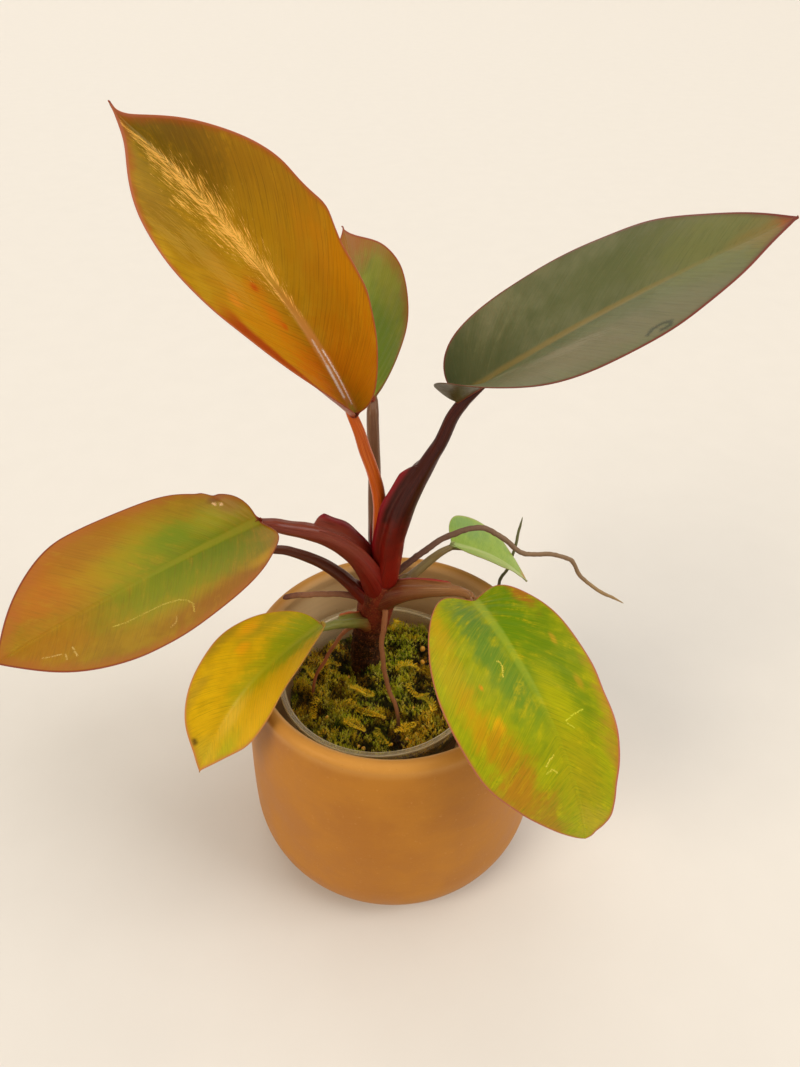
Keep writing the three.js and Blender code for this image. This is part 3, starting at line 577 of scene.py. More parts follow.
def frond_leaves(x, y, heading, length, seed):
    """Leaves of one frond: side sprigs leave a bent midline on both sides, shorter towards its tip, each
    with seven leaves along it. Gives feet and ways from the pot's middle."""
    draw = np.random.default_rng(seed)
    pairs = round(length)
    share = np.repeat(np.linspace(0.03, 1, pairs), 2)
    side = np.tile([1, -1], pairs)
    a = np.radians(heading) + 0.9 * (share - 0.5) * draw.uniform(-1, 1)
    mid_x = x + length * share * np.cos(a)
    mid_y = y + length * share * np.sin(a)
    sprig_way = (a + side * (0.85 - 0.35 * share))[:, None]
    sprig_length = (2.4 * np.sin(np.pi * (0.15 + 0.8 * share)) + 0.4) * draw.uniform(0.4, 1.25, 2 * pairs)
    k = np.linspace(0, 1, len(SPRIG_TILTS))
    px = mid_x[:, None] + np.cos(sprig_way) * sprig_length[:, None] * k
    py = mid_y[:, None] + np.sin(sprig_way) * sprig_length[:, None] * k
    pz = moss_height(px, py) + 2.4 + 0.5 * k - 0.5 * share[:, None]
    turn = sprig_way + (np.tile(SPRIG_TILTS, (2 * pairs, 1)) + draw.uniform(-0.3, 0.3, (2 * pairs, len(k))))
    way = np.stack([np.cos(turn), np.sin(turn), 0.5 + 0 * turn], -1)
    return in_pot(px, py, pz).reshape(-1, 3), way.reshape(-1, 3)


frond_parts = [frond_leaves(*place, seed=40 + i) for i, place in enumerate(FRONDS)]
frond_feet, frond_ways = (np.vstack(part) for part in zip(*frond_parts))
frond_sizes = 0.9 + 0.6 * rng.random(len(frond_feet))
frond_tones = np.stack([rng.random(len(frond_feet)), 0 * frond_sizes + 0.3, 0 * frond_sizes + 0.4], -1)
fronds = spears(frond_feet, frond_ways, frond_sizes, 0.6 * frond_sizes, frond_tones, "feather_moss")
fronds.data.materials.append(moss_finish("moss_fronds", "b08c18", "f8c820", "fcc81c", "ffe44c"))
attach(fronds, "root")


def beads(name, middles, sizes, bumpy):
    """Rounded grains in one mesh: a small ball of rings, dented by crossing waves, put at each place."""
    rows, columns = 7, 12
    lat = np.linspace(-np.pi / 2, np.pi / 2, rows + 2)[1:-1, None]
    lon = np.linspace(0, 2 * np.pi, columns, endpoint=False)
    ball = np.stack([np.cos(lat) * np.cos(lon), np.cos(lat) * np.sin(lon), np.sin(lat) + 0 * lon], -1)
    ball = np.vstack([ball.reshape(-1, 3), [[0, 0, -1], [0, 0, 1]]])
    ball_faces = closed_faces(rows, columns)
    points, faces = [], []
    for i, (middle, size) in enumerate(zip(middles, sizes)):
        dent = 1 + bumpy * crossing_waves(*ball.T, 1.6, seed=60 + i)
        points.append(ball * dent[:, None] * size + middle)
        for part in ball_faces:
            faces += (part + i * len(ball)).tolist()
    return make_mesh(name, np.vstack(points), faces)


bead_x, bead_y, bead_size = np.array(BEADS).T
bead_z = moss_height(bead_x, bead_y) + 1.0 + 0.3 * bead_size
grit = beads("grit_beads", in_pot(bead_x, bead_y, bead_z), bead_size, 0.16)
bead = Finish("grit_bead", "d08c18", Roughness=0.35, Subsurface_Weight=0.2, Subsurface_Scale=0.001)
bead_grain = bead.noise(bead.place(), 800, 3.0)
bead.coat(bead_grain, "f4c048")
grit.data.materials.append(bead.close(Normal=bead.bump(bead_grain, 0.1, 0.6)))
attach(grit, "root")

crumb_turn = rng.uniform(0, 6.3, CRUMB_COUNT)
crumb_hollow = np.array(HOLLOWS)[rng.integers(0, len(HOLLOWS), CRUMB_COUNT)]
crumb_reach = crumb_hollow[:, 2] * np.sqrt(rng.random(CRUMB_COUNT))
crumb_x = crumb_hollow[:, 0] + crumb_reach * np.cos(crumb_turn)
crumb_y = crumb_hollow[:, 1] + crumb_reach * np.sin(crumb_turn)
crumb_size = rng.uniform(0.4, 1.3, CRUMB_COUNT)
crumb_z = moss_height(crumb_x, crumb_y) - BED_BELOW - 2.2 * moss_hollow(crumb_x, crumb_y)
on_bed = np.hypot(crumb_x, crumb_y) < MOSS_RADIUS - 2
crumbs = beads("bark_crumbs", in_pot(crumb_x, crumb_y, crumb_z)[on_bed], crumb_size[on_bed], 0.55)
crumbs.data.materials.append(soil.material)
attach(crumbs, "root")

# Stem: short and thick, leaning a little to the right and forward, ringed by a scar where each old leaf
# fell. It is brown and corky below, painted near black there as shade, and deep red in the crown that the
# leaf stalks grow from.

STEM = [
    (-15.5, 21, 58, 5),
    (-15, 20.5, 75, 7),
    (-14.5, 20, 90, 7.8),
    (-13, 19, 105, 7.8),
    (-10.5, 18, 120, 8.2),
    (-7.8, 16.5, 135, 9),
    (-5, 15.2, 149, 8.4),
    (-3.6, 14.6, 158, 5),
]
SCAR_HEIGHTS = [90, 98, 107, 115, 122, 129, 136]


def smooth_line(knots, place):
    """Points at shares of a line through the knots. Between two knots it is a cubic whose end slopes are
    (p1-p0)/d01 - (p2-p0)/(d01+d12) + (p2-p1)/d12, times d12, where d is the root of a span's length."""
    knots = np.vstack([2 * knots[0] - knots[1], knots, 2 * knots[-1] - knots[-2]])
    spot = place * (len(knots) - 3)
    k = np.minimum(spot.astype(int), len(knots) - 4)
    t = (spot - k)[:, None]
    p0, p1, p2, p3 = (knots[k + i] for i in range(4))
    spans = (p1 - p0, p2 - p1, p3 - p2)
    d01, d12, d23 = (np.linalg.norm(span, axis=1, keepdims=True) ** 0.5 for span in spans)
    leave = ((p1 - p0) / d01 - (p2 - p0) / (d01 + d12) + (p2 - p1) / d12) * d12
    arrive = ((p2 - p1) / d12 - (p3 - p1) / (d12 + d23) + (p3 - p2) / d23) * d12
    square = 3 * (p2 - p1) - 2 * leave - arrive
    cube = 2 * (p1 - p2) + leave + arrive
    return p1 + leave * t + square * t**2 + cube * t**3


def eased(values, reach):
    """Running mean over 2 reach + 1 rows, with the ends kept."""
    padded = np.concatenate([np.repeat(values[:1], reach, 0), values, np.repeat(values[-1:], reach, 0)])
    total = sum(padded[i : i + len(values)] for i in range(2 * reach + 1)) / (2 * reach + 1)
    total[0], total[-1] = values[0], values[-1]
    return total


def eased_radius(knots, place, reach):
    """The knots' radii, spread evenly over the line and eased."""
    return eased(np.interp(place, np.linspace(0, 1, len(knots)), knots[:, 3]), reach)


def unit(vectors):
    return vectors / np.linalg.norm(vectors, axis=-1, keepdims=True).clip(1e-9)


def round_line(centre, upper_side, sides):
    """Directions of a tube's points round a line: up cos a + across sin a, with up the part of
    upper_side that is square to the line. Gives them with the angles."""
    tangent = unit(np.gradient(centre, axis=0))
    up = unit(upper_side - tangent * (tangent @ upper_side)[:, None])
    across = np.cross(tangent, up)
    a = np.linspace(0, 2 * np.pi, sides, endpoint=False)
    return up[:, None] * np.cos(a)[:, None] + across[:, None] * np.sin(a)[:, None], a


stem_place = np.linspace(0, 1, 150)
stem_knots = np.array(STEM, float)
stem_line = smooth_line(stem_knots[:, :3], stem_place)
stem_way, stem_turn = round_line(stem_line, np.array([0, -1.0, 0.2]), 72)
stem_height = stem_line[:, 2:] + 0 * stem_turn
# Each scar is a raised ring, tilted to its own side, with a groove 1.9 mm above it.
scar = 0
for i, scar_z in enumerate(SCAR_HEIGHTS):
    off = stem_height - scar_z - 1.6 * np.cos(stem_turn - 2.4 * i)
    scar = scar + np.exp(-((off / 0.8) ** 2)) - 0.6 * np.exp(-(((off - 1.9) / 1.1) ** 2))
bark = crossing_waves(10 * np.cos(stem_turn), 10 * np.sin(stem_turn), stem_height / 2, 4.5, seed=14)
grown = np.clip((126 - stem_height) / 10, 0.15, 1)
stem_reach = eased_radius(stem_knots, stem_place, 5)[:, None] + (0.38 * scar + 0.5 * bark) * grown
stem_rings = stem_line[:, None] + stem_way * stem_reach[..., None]
stem_marks = np.stack([stem_height, scar * grown, 0 * scar], -1)
stem = skin("stem_body", stem_rings, {"bark": stem_marks})

# Painted shade: the near-black ground is the corky brown bark darkened on the lower stem.
cork = Finish("stem_bark", "1c0e06", Coat_Weight=0.08, Coat_Roughness=0.4, Specular_IOR_Level=0.15)
bark_height, bark_scar, _ = cork.mark("bark")
cork_place = cork.place()
cork_grain = cork.noise(cork_place * (1.0, 1.0, 0.3), 900, 4.0, 0.65)
cork_cloud = cork.noise(cork_place, 180, 3.0, 0.6)
crown_red = cork.mix(cork.step(cork_cloud, 0.3, 0.7), "5c2414", "8c3420")
green_film = cork.step(cork_cloud, 0.5, 0.62) * cork.step(bark_height, 104.0, 92.0)
cork.paint(cork_grain, 0.35, 0.7, "4a2814")
cork.paint(cork_cloud, 0.45, 0.7, "38300f", 0.4)
cork.paint(bark_height, 108.0, 134.0, crown_red)
cork.paint(bark_scar, 0.35, 0.95, "5c3a26", 0.22)
cork.coat(green_film, "3c3a10")
cork.paint(bark_scar, -0.1, -0.5, "241009", 0.7)
cork.paint(cork.noise(cork_place, 1300, 2.0, 0.5), 0.58, 0.66, "a86834", 0.6)
cork_gloss = cork.step(bark_height, 120.0, 142.0, 0.8, 0.42)
stem.data.materials.append(cork.close(Normal=cork.bump(cork_grain, 0.25, 0.8), Roughness=cork_gloss))
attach(stem, "root")
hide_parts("stem")

# Leaf stalks: eight smooth, fleshy petioles, each with two thin red wings of the leaf sheath along the
# upper side near the stem. A stalk runs on under its blade as the midrib and sinks into it.

# Each leaf: where its blade starts, the midrib's heading from +X and rise above level, its droop and
# sideways sweep by the tip, the roll of the blade and its twist, the fold of the halves, their curl to the
# margin and the cupping at the base, all in degrees; then length, width and the outline's five numbers.
LEAF_WORDS = (
    "start heading rise droop sweep roll twist fold curl cup length width widest taper round lobe skew"
)
LEAVES = {
    "crown_left": ((-14.5, 5, 244), 163, 66, 41, -17.5, -37, -13, 32, 15, 32, 142, 69, 0.5, 1.7, 0.5, 0, 0),
    "crown_right": ((25.5, 0, 253), -26, 44, 12, 12, 23, 2, 18, -17, 63, 124, 61, 0.48, 1.05, 0.38, 1, -0.03),
    "crown_back": ((-8.5, 30, 237), 95, 17, -7, 8, -16, -37, 16, -2, 21, 111, 57, 0.48, 1.6, 0.5, 1, 0),
    "left": ((-54, -10, 203), 228, 6, 17, -10, -23, 12, 12, 7, 13, 108, 63, 0.62, 1, 0.37, 0, 0.1),
    "left_back": ((-56, 14, 170.5), 192, 2, 28, 8, -5, 0, 14, 0, 10, 88, 44, 0.42, 1.2, 0.5, 1, 0),
    "front_left": ((-32.5, -5, 139.5), 216, -7, 55, 7, 17, -60, 22, 4, -1, 89, 49, 0.42, 1.2, 0.5, 1, -0.04),
    "front_right": ((36.5, -5, 154.5), 291, 13, 89, 16, 4, 31, 6, -8, 28, 120, 64, 0.43, 0.7, 0.38, 0, -0.18),
    "back_right": ((29.5, 38, 152), 26, -29, 26, 5, 2, 13, 24, -20, 2, 67, 40, 0.31, 1, 0.5, 1, 0.18),
}
LEAVES = {name: dict(zip(LEAF_WORDS.split(), numbers)) for name, numbers in LEAVES.items()}
UNDER_BLADE = 17  # how far a stalk runs on under its blade
MIDRIB_TOP = 0.5  # how high it stands on the upper face at the base


def cos_sum(a, b, u):
    """Integral of cos(a + b t) for t from 0 to u: u cos(a + b u / 2) sin(b u / 2) / (b u / 2)."""
    return u * np.cos(a + b * u / 2) * np.sinc(b * u / 2 / np.pi)


def midrib(leaf, share):
    """Point, tangent, left and upper directions of a midrib at shares of its length. It rises at
    e = rise - droop u and heads h = heading + sweep u; the point is the integral of
    (cos e cos h, cos e sin h, sin e), and runs straight on outside 0 to 1."""
    u = np.clip(share, 0, 1)
    e0, e1, h0, h1, r0, r1 = (np.radians(leaf[k]) for k in "rise droop heading sweep roll twist".split())
    quarter = np.pi / 2
    along = cos_sum(e0 + h0, h1 - e1, u) + cos_sum(e0 - h0, -h1 - e1, u)
    sideways = cos_sum(h0 + e0 - quarter, h1 - e1, u) + cos_sum(h0 - e0 - quarter, h1 + e1, u)
    point = np.stack([along / 2, sideways / 2, cos_sum(e0 - quarter, -e1, u)], -1) * leaf["length"]
    e, h = e0 - e1 * u, h0 + h1 * u
    tangent = np.stack([np.cos(e) * np.cos(h), np.cos(e) * np.sin(h), np.sin(e)], -1)
    point = point + leaf["start"] + tangent * ((share - u) * leaf["length"])[..., None]
    side = np.stack([-np.sin(h), np.cos(h), 0 * h], -1)
    up = np.cross(tangent, side)
    turn = (r0 + r1 * u)[..., None]
    left = side * np.cos(turn) + up * np.sin(turn)
    return point, tangent, left, np.cross(tangent, left)


# Each stalk: points on its middle line with radii; the share that carries the sheath's wings, and their
# heights on the viewer's side and away from it; and its colours: the body low and high, the wings'
# edges, and the stripes near the blade.
STALKS = {
    "crown_left": (
        [
            (-5, 14.5, 150, 5), (-5.6, 14, 168, 3.8), (-5.4, 13, 184, 3.3), (-5.4, 11.2, 199, 2.9),
            (-7.4, 9.4, 212, 2.7), (-11, 7.2, 227, 2.6),
        ],
        (0.3, 0.8, 0.8), ("80200f", "b44e0e", "8c1c1a", "cc7830"),
    ),
    "crown_right": (
        [
            (-4, 13.5, 151, 6), (-1.5, 12, 165, 5.6), (0.8, 10.2, 181, 5.6), (4.6, 8.2, 197.5, 5.4),
            (9.6, 6.3, 211, 4.6), (15.6, 4.3, 224, 3.4), (20, 2.8, 234, 2.9),
        ],
        (0.66, 4.5, 1.6), ("821a0e", "360d07", "7c0e18", "6a2c1a"),
    ),
    "crown_back": (
        [
            (-6.5, 17.5, 149, 5), (-7.6, 21, 163, 3.8), (-8.1, 23.5, 178, 3), (-7.8, 26, 203, 2.8),
            (-8, 25.4, 222, 2.7), (-8.1, 26.2, 232, 2.6),
        ],
        (0.35, 1.2, 1.2), ("4a1a1c", "6c4a34", "7a1820", "7c6444"),
    ),
    "left": (
        [
            (-7, 13.5, 146, 6.5), (-11.5, 9.6, 161, 5.6), (-18, 5.9, 174.6, 4.9), (-26, 2, 184.5, 4.3),
            (-34.5, -1.9, 191.4, 3.8), (-43, -5.6, 196.2, 3.2),
        ],
        (0.64, 0.8, 5.5), ("7e1a12", "722e1e", "7c0a1c", "865038"),
    ),
    "left_back": (
        [
            (-9.5, 15, 135, 5), (-16, 14.2, 142.5, 3.6), (-23.5, 14, 152.5, 3.1), (-33, 14, 161, 2.7),
            (-45, 14, 167, 2.3),
        ],
        (0.3, 0.9, 0.9), ("802014", "5c2c1a", "7c1418", "6c4428"),
    ),
    "front_left": (
        [(-11, 16, 120, 5), (-15.5, 9, 128, 3.4), (-22, 3.5, 132.8, 2.7), (-28, -1.6, 136.4, 2.1)],
        (0.62, 0.8, 2.2), ("8c3c1e", "80803a", "c85428", "a8a45c"),
    ),
    "front_right": (
        [
            (-6, 13.5, 138, 6), (2.5, 8.6, 147, 5.2), (12, 4.6, 152.4, 4.2), (22.5, 0.6, 156, 2.9),
            (30, -1.2, 156.8, 2.3), (34.8, -2.2, 155.6, 2.1),
        ],
        (0.59, 0.3, 1.7), ("70301a", "80542c", "941822", "b08c60"),
    ),
    "back_right": (
        [
            (-5, 16.5, 139, 5), (3, 19.5, 142, 3), (9.5, 23.8, 145, 2.4), (18, 30.5, 148.5, 2.1),
            (25, 35.4, 150.9, 1.8),
        ],
        (0.35, 1, 1), ("4c2418", "7a6438", "6c2818", "8c8a54"),
    ),
}
STALK_SIDES = 64
WING_ANGLE = 0.7  # from the top of the stalk to a wing's crest, and its width, in radians
WING_SPREAD = 0.15
CHANNEL_SPREAD = 0.42
SINK_LENGTH = 9  # before the blade, where a stalk starts to sink towards it


def stalk(name, line, sheath, front_wing, back_wing):
    """A stalk's rings: reach = radius, plus the wings' crests at 0.7 radians each side of the top, less
    a shallow channel between them. Near the blade the line sinks until its top is just proud of it."""
    leaf = LEAVES[name]
    knots = np.array([*line, (*leaf["start"], line[-1][3] * 0.85)], float)
    place = np.linspace(0, 1, 120)
    centre = smooth_line(knots[:, :3], place)
    radius = eased_radius(knots, place, 4)
    run = np.linspace(0, UNDER_BLADE, 22)[1:]
    point, _, _, face = midrib(leaf, run / leaf["length"])
    left_over = 1 - run / UNDER_BLADE
    radius_below = radius[-1] * (1 - 0.8 * run / UNDER_BLADE)
    ramp = np.clip(1 - np.linalg.norm(centre - knots[-1, :3], axis=1) / SINK_LENGTH, 0, 1)
    sink = ramp**2 * (3 - 2 * ramp) * (radius[-1] - MIDRIB_TOP)
    line_below = point - face * (radius_below - MIDRIB_TOP * left_over + 0.1)[:, None]
    centre = eased(np.vstack([centre - face[0] * sink[:, None], line_below]), 3)
    radius = np.concatenate([radius, radius_below])[:, None]
    place = np.concatenate([place, np.ones(len(run))])[:, None]
    heading = unit((knots[-1] - knots[0])[:3] * [1, 1, 0])
    way, a = round_line(centre, np.array([0, 0, 1]) - heading, STALK_SIDES)
    off_top = np.minimum(a, 2 * np.pi - a)
    rise = np.sin(np.pi * np.minimum(0.5, place / sheath / 2 + 0.12))
    ended = np.clip((sheath - place) / 0.055, 0, 1) ** 0.5
    wavy = 1 + 0.05 * np.sin(place * 31 + 1)
    viewer_first = -way[:, STALK_SIDES // 4, 1][:, None] > 0
    wing = np.where((a < np.pi) == viewer_first, front_wing, back_wing)
    height = rise * ended * wavy * wing
    crest = np.exp(-(((off_top - WING_ANGLE) / WING_SPREAD) ** 2))
    channel = np.exp(-((off_top / CHANNEL_SPREAD) ** 2)) * (0.12 + 0.12 * ended) * radius
    uneven = 0.035 * radius * crossing_waves(3 * np.cos(a), 3 * np.sin(a), 40 * place, 5, seed=31)
    reach = radius + height * crest - channel + uneven
    rings = centre[:, None] + way * reach[..., None]
    marks = np.stack([place + 0 * a, a + 0 * reach, crest * height / max(front_wing, back_wing)], -1)
    return rings, marks


def stalk_finish(name, low, high, edge, stripe):
    """Fleshy stalk: red at the stem, its own colour above, crimson along the wings, and fine pale
    stripes lengthwise that fade in towards the blade; glossy, with faint long ridges."""
    made = Finish(name, low, Coat_Weight=0.14, Coat_Roughness=0.14, Specular_IOR_Level=0.13)
    made.set(Subsurface_Weight=0.05, Subsurface_Scale=0.002)
    along, angle, wing = made.mark("stalk")
    place = made.place()
    cloud = made.noise(place, 150, 3.0, 0.6)
    lines = made.noise(made.join(angle * 13.0, along * 3.0, 0.0), 1.0, 5.0, 0.72)
    made.paint(along + (cloud - 0.5) * 0.35, 0.04, 0.48, high)
    made.coat(made.step(lines, 0.5, 0.66) * made.step(along, 0.3, 0.95, 0.18, 0.8), stripe)
    made.paint(lines, 0.48, 0.32, "200a08", 0.65)
    made.paint(made.noise(place, 1500, 2.0), 0.66, 0.74, stripe, 0.35)
    made.paint(wing, 0.3, 0.85, edge, 0.9)
    return made.close(Normal=made.bump(lines, 0.12, 0.5), Roughness=made.step(cloud, 0.3, 0.7, 0.28, 0.42))


for leaf_name, (stalk_line, stalk_sheath, stalk_colours) in STALKS.items():
    stalk_rings, stalk_marks = stalk(leaf_name, stalk_line, *stalk_sheath)
    petiole = skin("petiole_" + leaf_name + "_flesh", stalk_rings, {"stalk": stalk_marks})
    petiole.data.materials.append(stalk_finish("petiole_" + leaf_name, *stalk_colours))
    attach(petiole, "root")
    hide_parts("petiole_" + leaf_name)
    "petiole_" + leaf_name

# Blades: smooth, leathery leaves, 67 to 142 mm long and half a millimetre thick, folded along the midrib.
# Colours differ from leaf to leaf, from olive and bronze to green and gold, with a thin reddish rim.

BLADE_ROWS = 150
BLADE_LINES = np.linspace(0, 1, 37) ** 1.25  # from midrib to margin, as shares of the half width
VEIN_LEAD = 0.26  # how far a side vein starts behind its end at the margin, as a share of length
LOBE_END = 1.25  # where the base lobe ends along the margin, in radians
EAR_END = 0.75  # the same for the small ear at the very base
HOOK_START = 0.9  # share of the length where a hooked tip starts to bend
CORRUGATIONS = 15
MARGIN_WAVE = 0.22
MARGIN_BULGE = 0.16  # how far the rounded margin stands out past the last line of the grid


def outline(leaf, y):
    """Half width at share y, 0 to 1: (1 - ((y - widest) / reach)^2) to the power that suits that side."""
    before = y < leaf["widest"]
    reach = np.where(before, leaf["widest"], 1 - leaf["widest"])
    fall = np.clip(1 - ((y - leaf["widest"]) / reach) ** 2, 0, 1)
    return fall ** np.where(before, leaf["round"], leaf["taper"])


def half_width(leaf, look, y, sweep, side, phase):
    """Half the blade's width at each row: the outline, pushed out by bell curves at the margin's bulges
    and waved a little."""
    half = leaf["width"] / 2 * (1 + side * leaf["skew"]) * outline(leaf, y)
    for push_side, at, width, out in look["margin"]:
        bell = np.exp(-(((y * leaf["length"] - at) / width) ** 2))
        half = half + out * bell * (side == push_side) * np.sin(sweep) ** 0.5
    return half + MARGIN_WAVE * np.sin(9 * sweep + phase + side) * np.sin(sweep)


def base_lobes(leaf, look, sweep, side):
    """How far the margin reaches back beside the stalk: sin^2 bumps, a broad lobe and a small ear."""
    lobe = np.where(sweep < LOBE_END, np.sin(np.pi * sweep / LOBE_END) ** 2, 0) * leaf["lobe"]
    ear = np.where(side > 0, *look["ears"])
    return lobe + np.where(sweep < EAR_END, np.sin(np.pi * sweep / EAR_END) ** 2, 0) * ear


def ripples(look, length, sweep, y, v, side, share, across, phase):
    """Low relief of a blade: corrugations along the side veins, a fluttering margin and broad swells."""
    ripple = np.sin(2 * np.pi * CORRUGATIONS * (0.4 * sweep / np.pi + 0.6 * y)) * np.sin(np.pi * v**0.8)
    flutter = np.sin(11 * y + phase + 1.3 * side) + 0.6 * np.sin(23 * y + 2 * phase + side)
    swells = crossing_waves(share * length, across, phase, 26, seed=17)
    total = look["ribbing"] * ripple + look["flutter"] * v**3 * flutter + look["swell"] * swells * v**0.7
    return total * np.sin(sweep)


def blade(leaf, look, phase):
    """Rings of a blade's closed skin, from the left margin over the upper face to the right margin and
    back below. Row k lies on one pair of side veins, which leave the midrib at y - lead sin^2 and reach
    the margin at y = (1 - cos sweep) / 2. The halves are arcs that start at the fold and turn by the
    curl, with the fold's bottom rounded: sqrt(height^2 + gutter^2) - gutter. The upper face has a low
    band on the midrib with a groove each side, and the lower one its rib."""
    sweep = (np.pi * (np.arange(BLADE_ROWS) + 0.6) / (BLADE_ROWS + 0.2))[:, None]
    u = np.concatenate([BLADE_LINES[::-1], -BLADE_LINES[1:]])
    side, v = np.where(u < 0, -1, 1), abs(u)
    y = (1 - np.cos(sweep)) / 2
    half = half_width(leaf, look, y, sweep, side, phase)
    root = y - VEIN_LEAD * np.sin(sweep) ** 2
    share = root + (y - base_lobes(leaf, look, sweep, side) / leaf["length"] - root) * v**1.12
    inside = np.clip(share, 0, 1)
    cup = np.radians(leaf["cup"]) * (1 - inside) ** 4
    fold = np.radians(leaf["fold"]) + cup / 2
    curl = np.radians(leaf["curl"]) + cup
    point, _, left, face = midrib(leaf, share)
    rib_width = look["rib"] * (1 - 0.82 * inside**0.8)
    height = half * cos_sum(fold - np.pi / 2, curl, v)
    gutter = rib_width * np.tan(fold)
    rounding = np.sqrt(height**2 + gutter**2) - abs(gutter) - abs(height)
    height = height + rounding * np.sign(height) * (1 - v**2)
    hook = look["hook"] * np.clip((share - HOOK_START) / (1 - HOOK_START), 0, 1) ** 2
    out = side * half * cos_sum(fold, curl, v)
    middle = point + left * out[..., None] + face * height[..., None] + left * hook[..., None]
    normal = unit(np.cross(np.gradient(middle, axis=1), np.gradient(middle, axis=0)))
    across = side * half * v
    ripple = ripples(look, leaf["length"], sweep, y, v, side, share, across, phase)
    middle = middle + normal * ripple[..., None]

    rib_share = abs(across) / rib_width
    band = 0.3 * np.clip(1 - rib_share**2, 0, 1) - 0.12 * np.exp(-(((rib_share - 1.35) / 0.35) ** 2))
    band = look["relief"] * band * np.sin(sweep) ** 0.3
    rib_depth = (1.7 - 1.4 * y) * np.exp(-((rib_share / 0.85) ** 2))
    half_thick = 0.3 - 0.14 * v**3
    upper = middle + normal * (half_thick + band)[..., None]
    lower = middle - normal * (half_thick + rib_depth)[..., None]
    edges = []
    for first, second in ((0, 1), (-1, -2)):
        outwards = unit(middle[:, first] - middle[:, second])
        edges.append((middle[:, first] + MARGIN_BULGE * outwards)[:, None])
    rings = np.concatenate([upper, edges[1], lower[:, ::-1], edges[0]], 1)

    def all_round(values):
        values = values + 0 * share
        return np.concatenate([values, values[:, -1:], values[:, ::-1], values[:, :1]], 1)

    def mark(*values):
        return np.stack([all_round(value) for value in values], -1)

    place = mark(share * leaf["length"], across, 0)
    place[..., 2] = np.concatenate([0 * u, [0.5], 0 * u + 1, [0.5]])
    vein = mark(0.5 * sweep / np.pi + 0.5 * y, u, 0)
    return rings, {"place": place, "vein": vein, "edge": mark(rib_share, half * (1 - v), 0)}


def off_spot(seat, x, y, reach_x, reach_y):
    """How far a place on the leaf is from the middle of a soft oval spot, as a share of its reach."""
    return ((seat - (x, y, 0.0)) / (reach_x, reach_y, 1.0)).length()


def off_line(made, seat, points):
    """Distance to a bent line. For a stretch from a to b it is |p - a - t (b - a)|, with
    t = (p - a).(b - a) / |b - a|^2 held between 0 and 1."""
    nearest = None
    for a, b in zip(points, points[1:]):
        a, b = np.array([*a, 0.0]), np.array([*b, 0.0])
        off = seat - tuple(a)
        t = made.sum("DOT_PRODUCT", off, tuple((b - a) / ((b - a) @ (b - a))))
        distance = (off - made.node("Clamp", {0: t}) * tuple(b - a)).length()
        nearest = distance if nearest is None else made.sum("MINIMUM", nearest, distance)
    return nearest


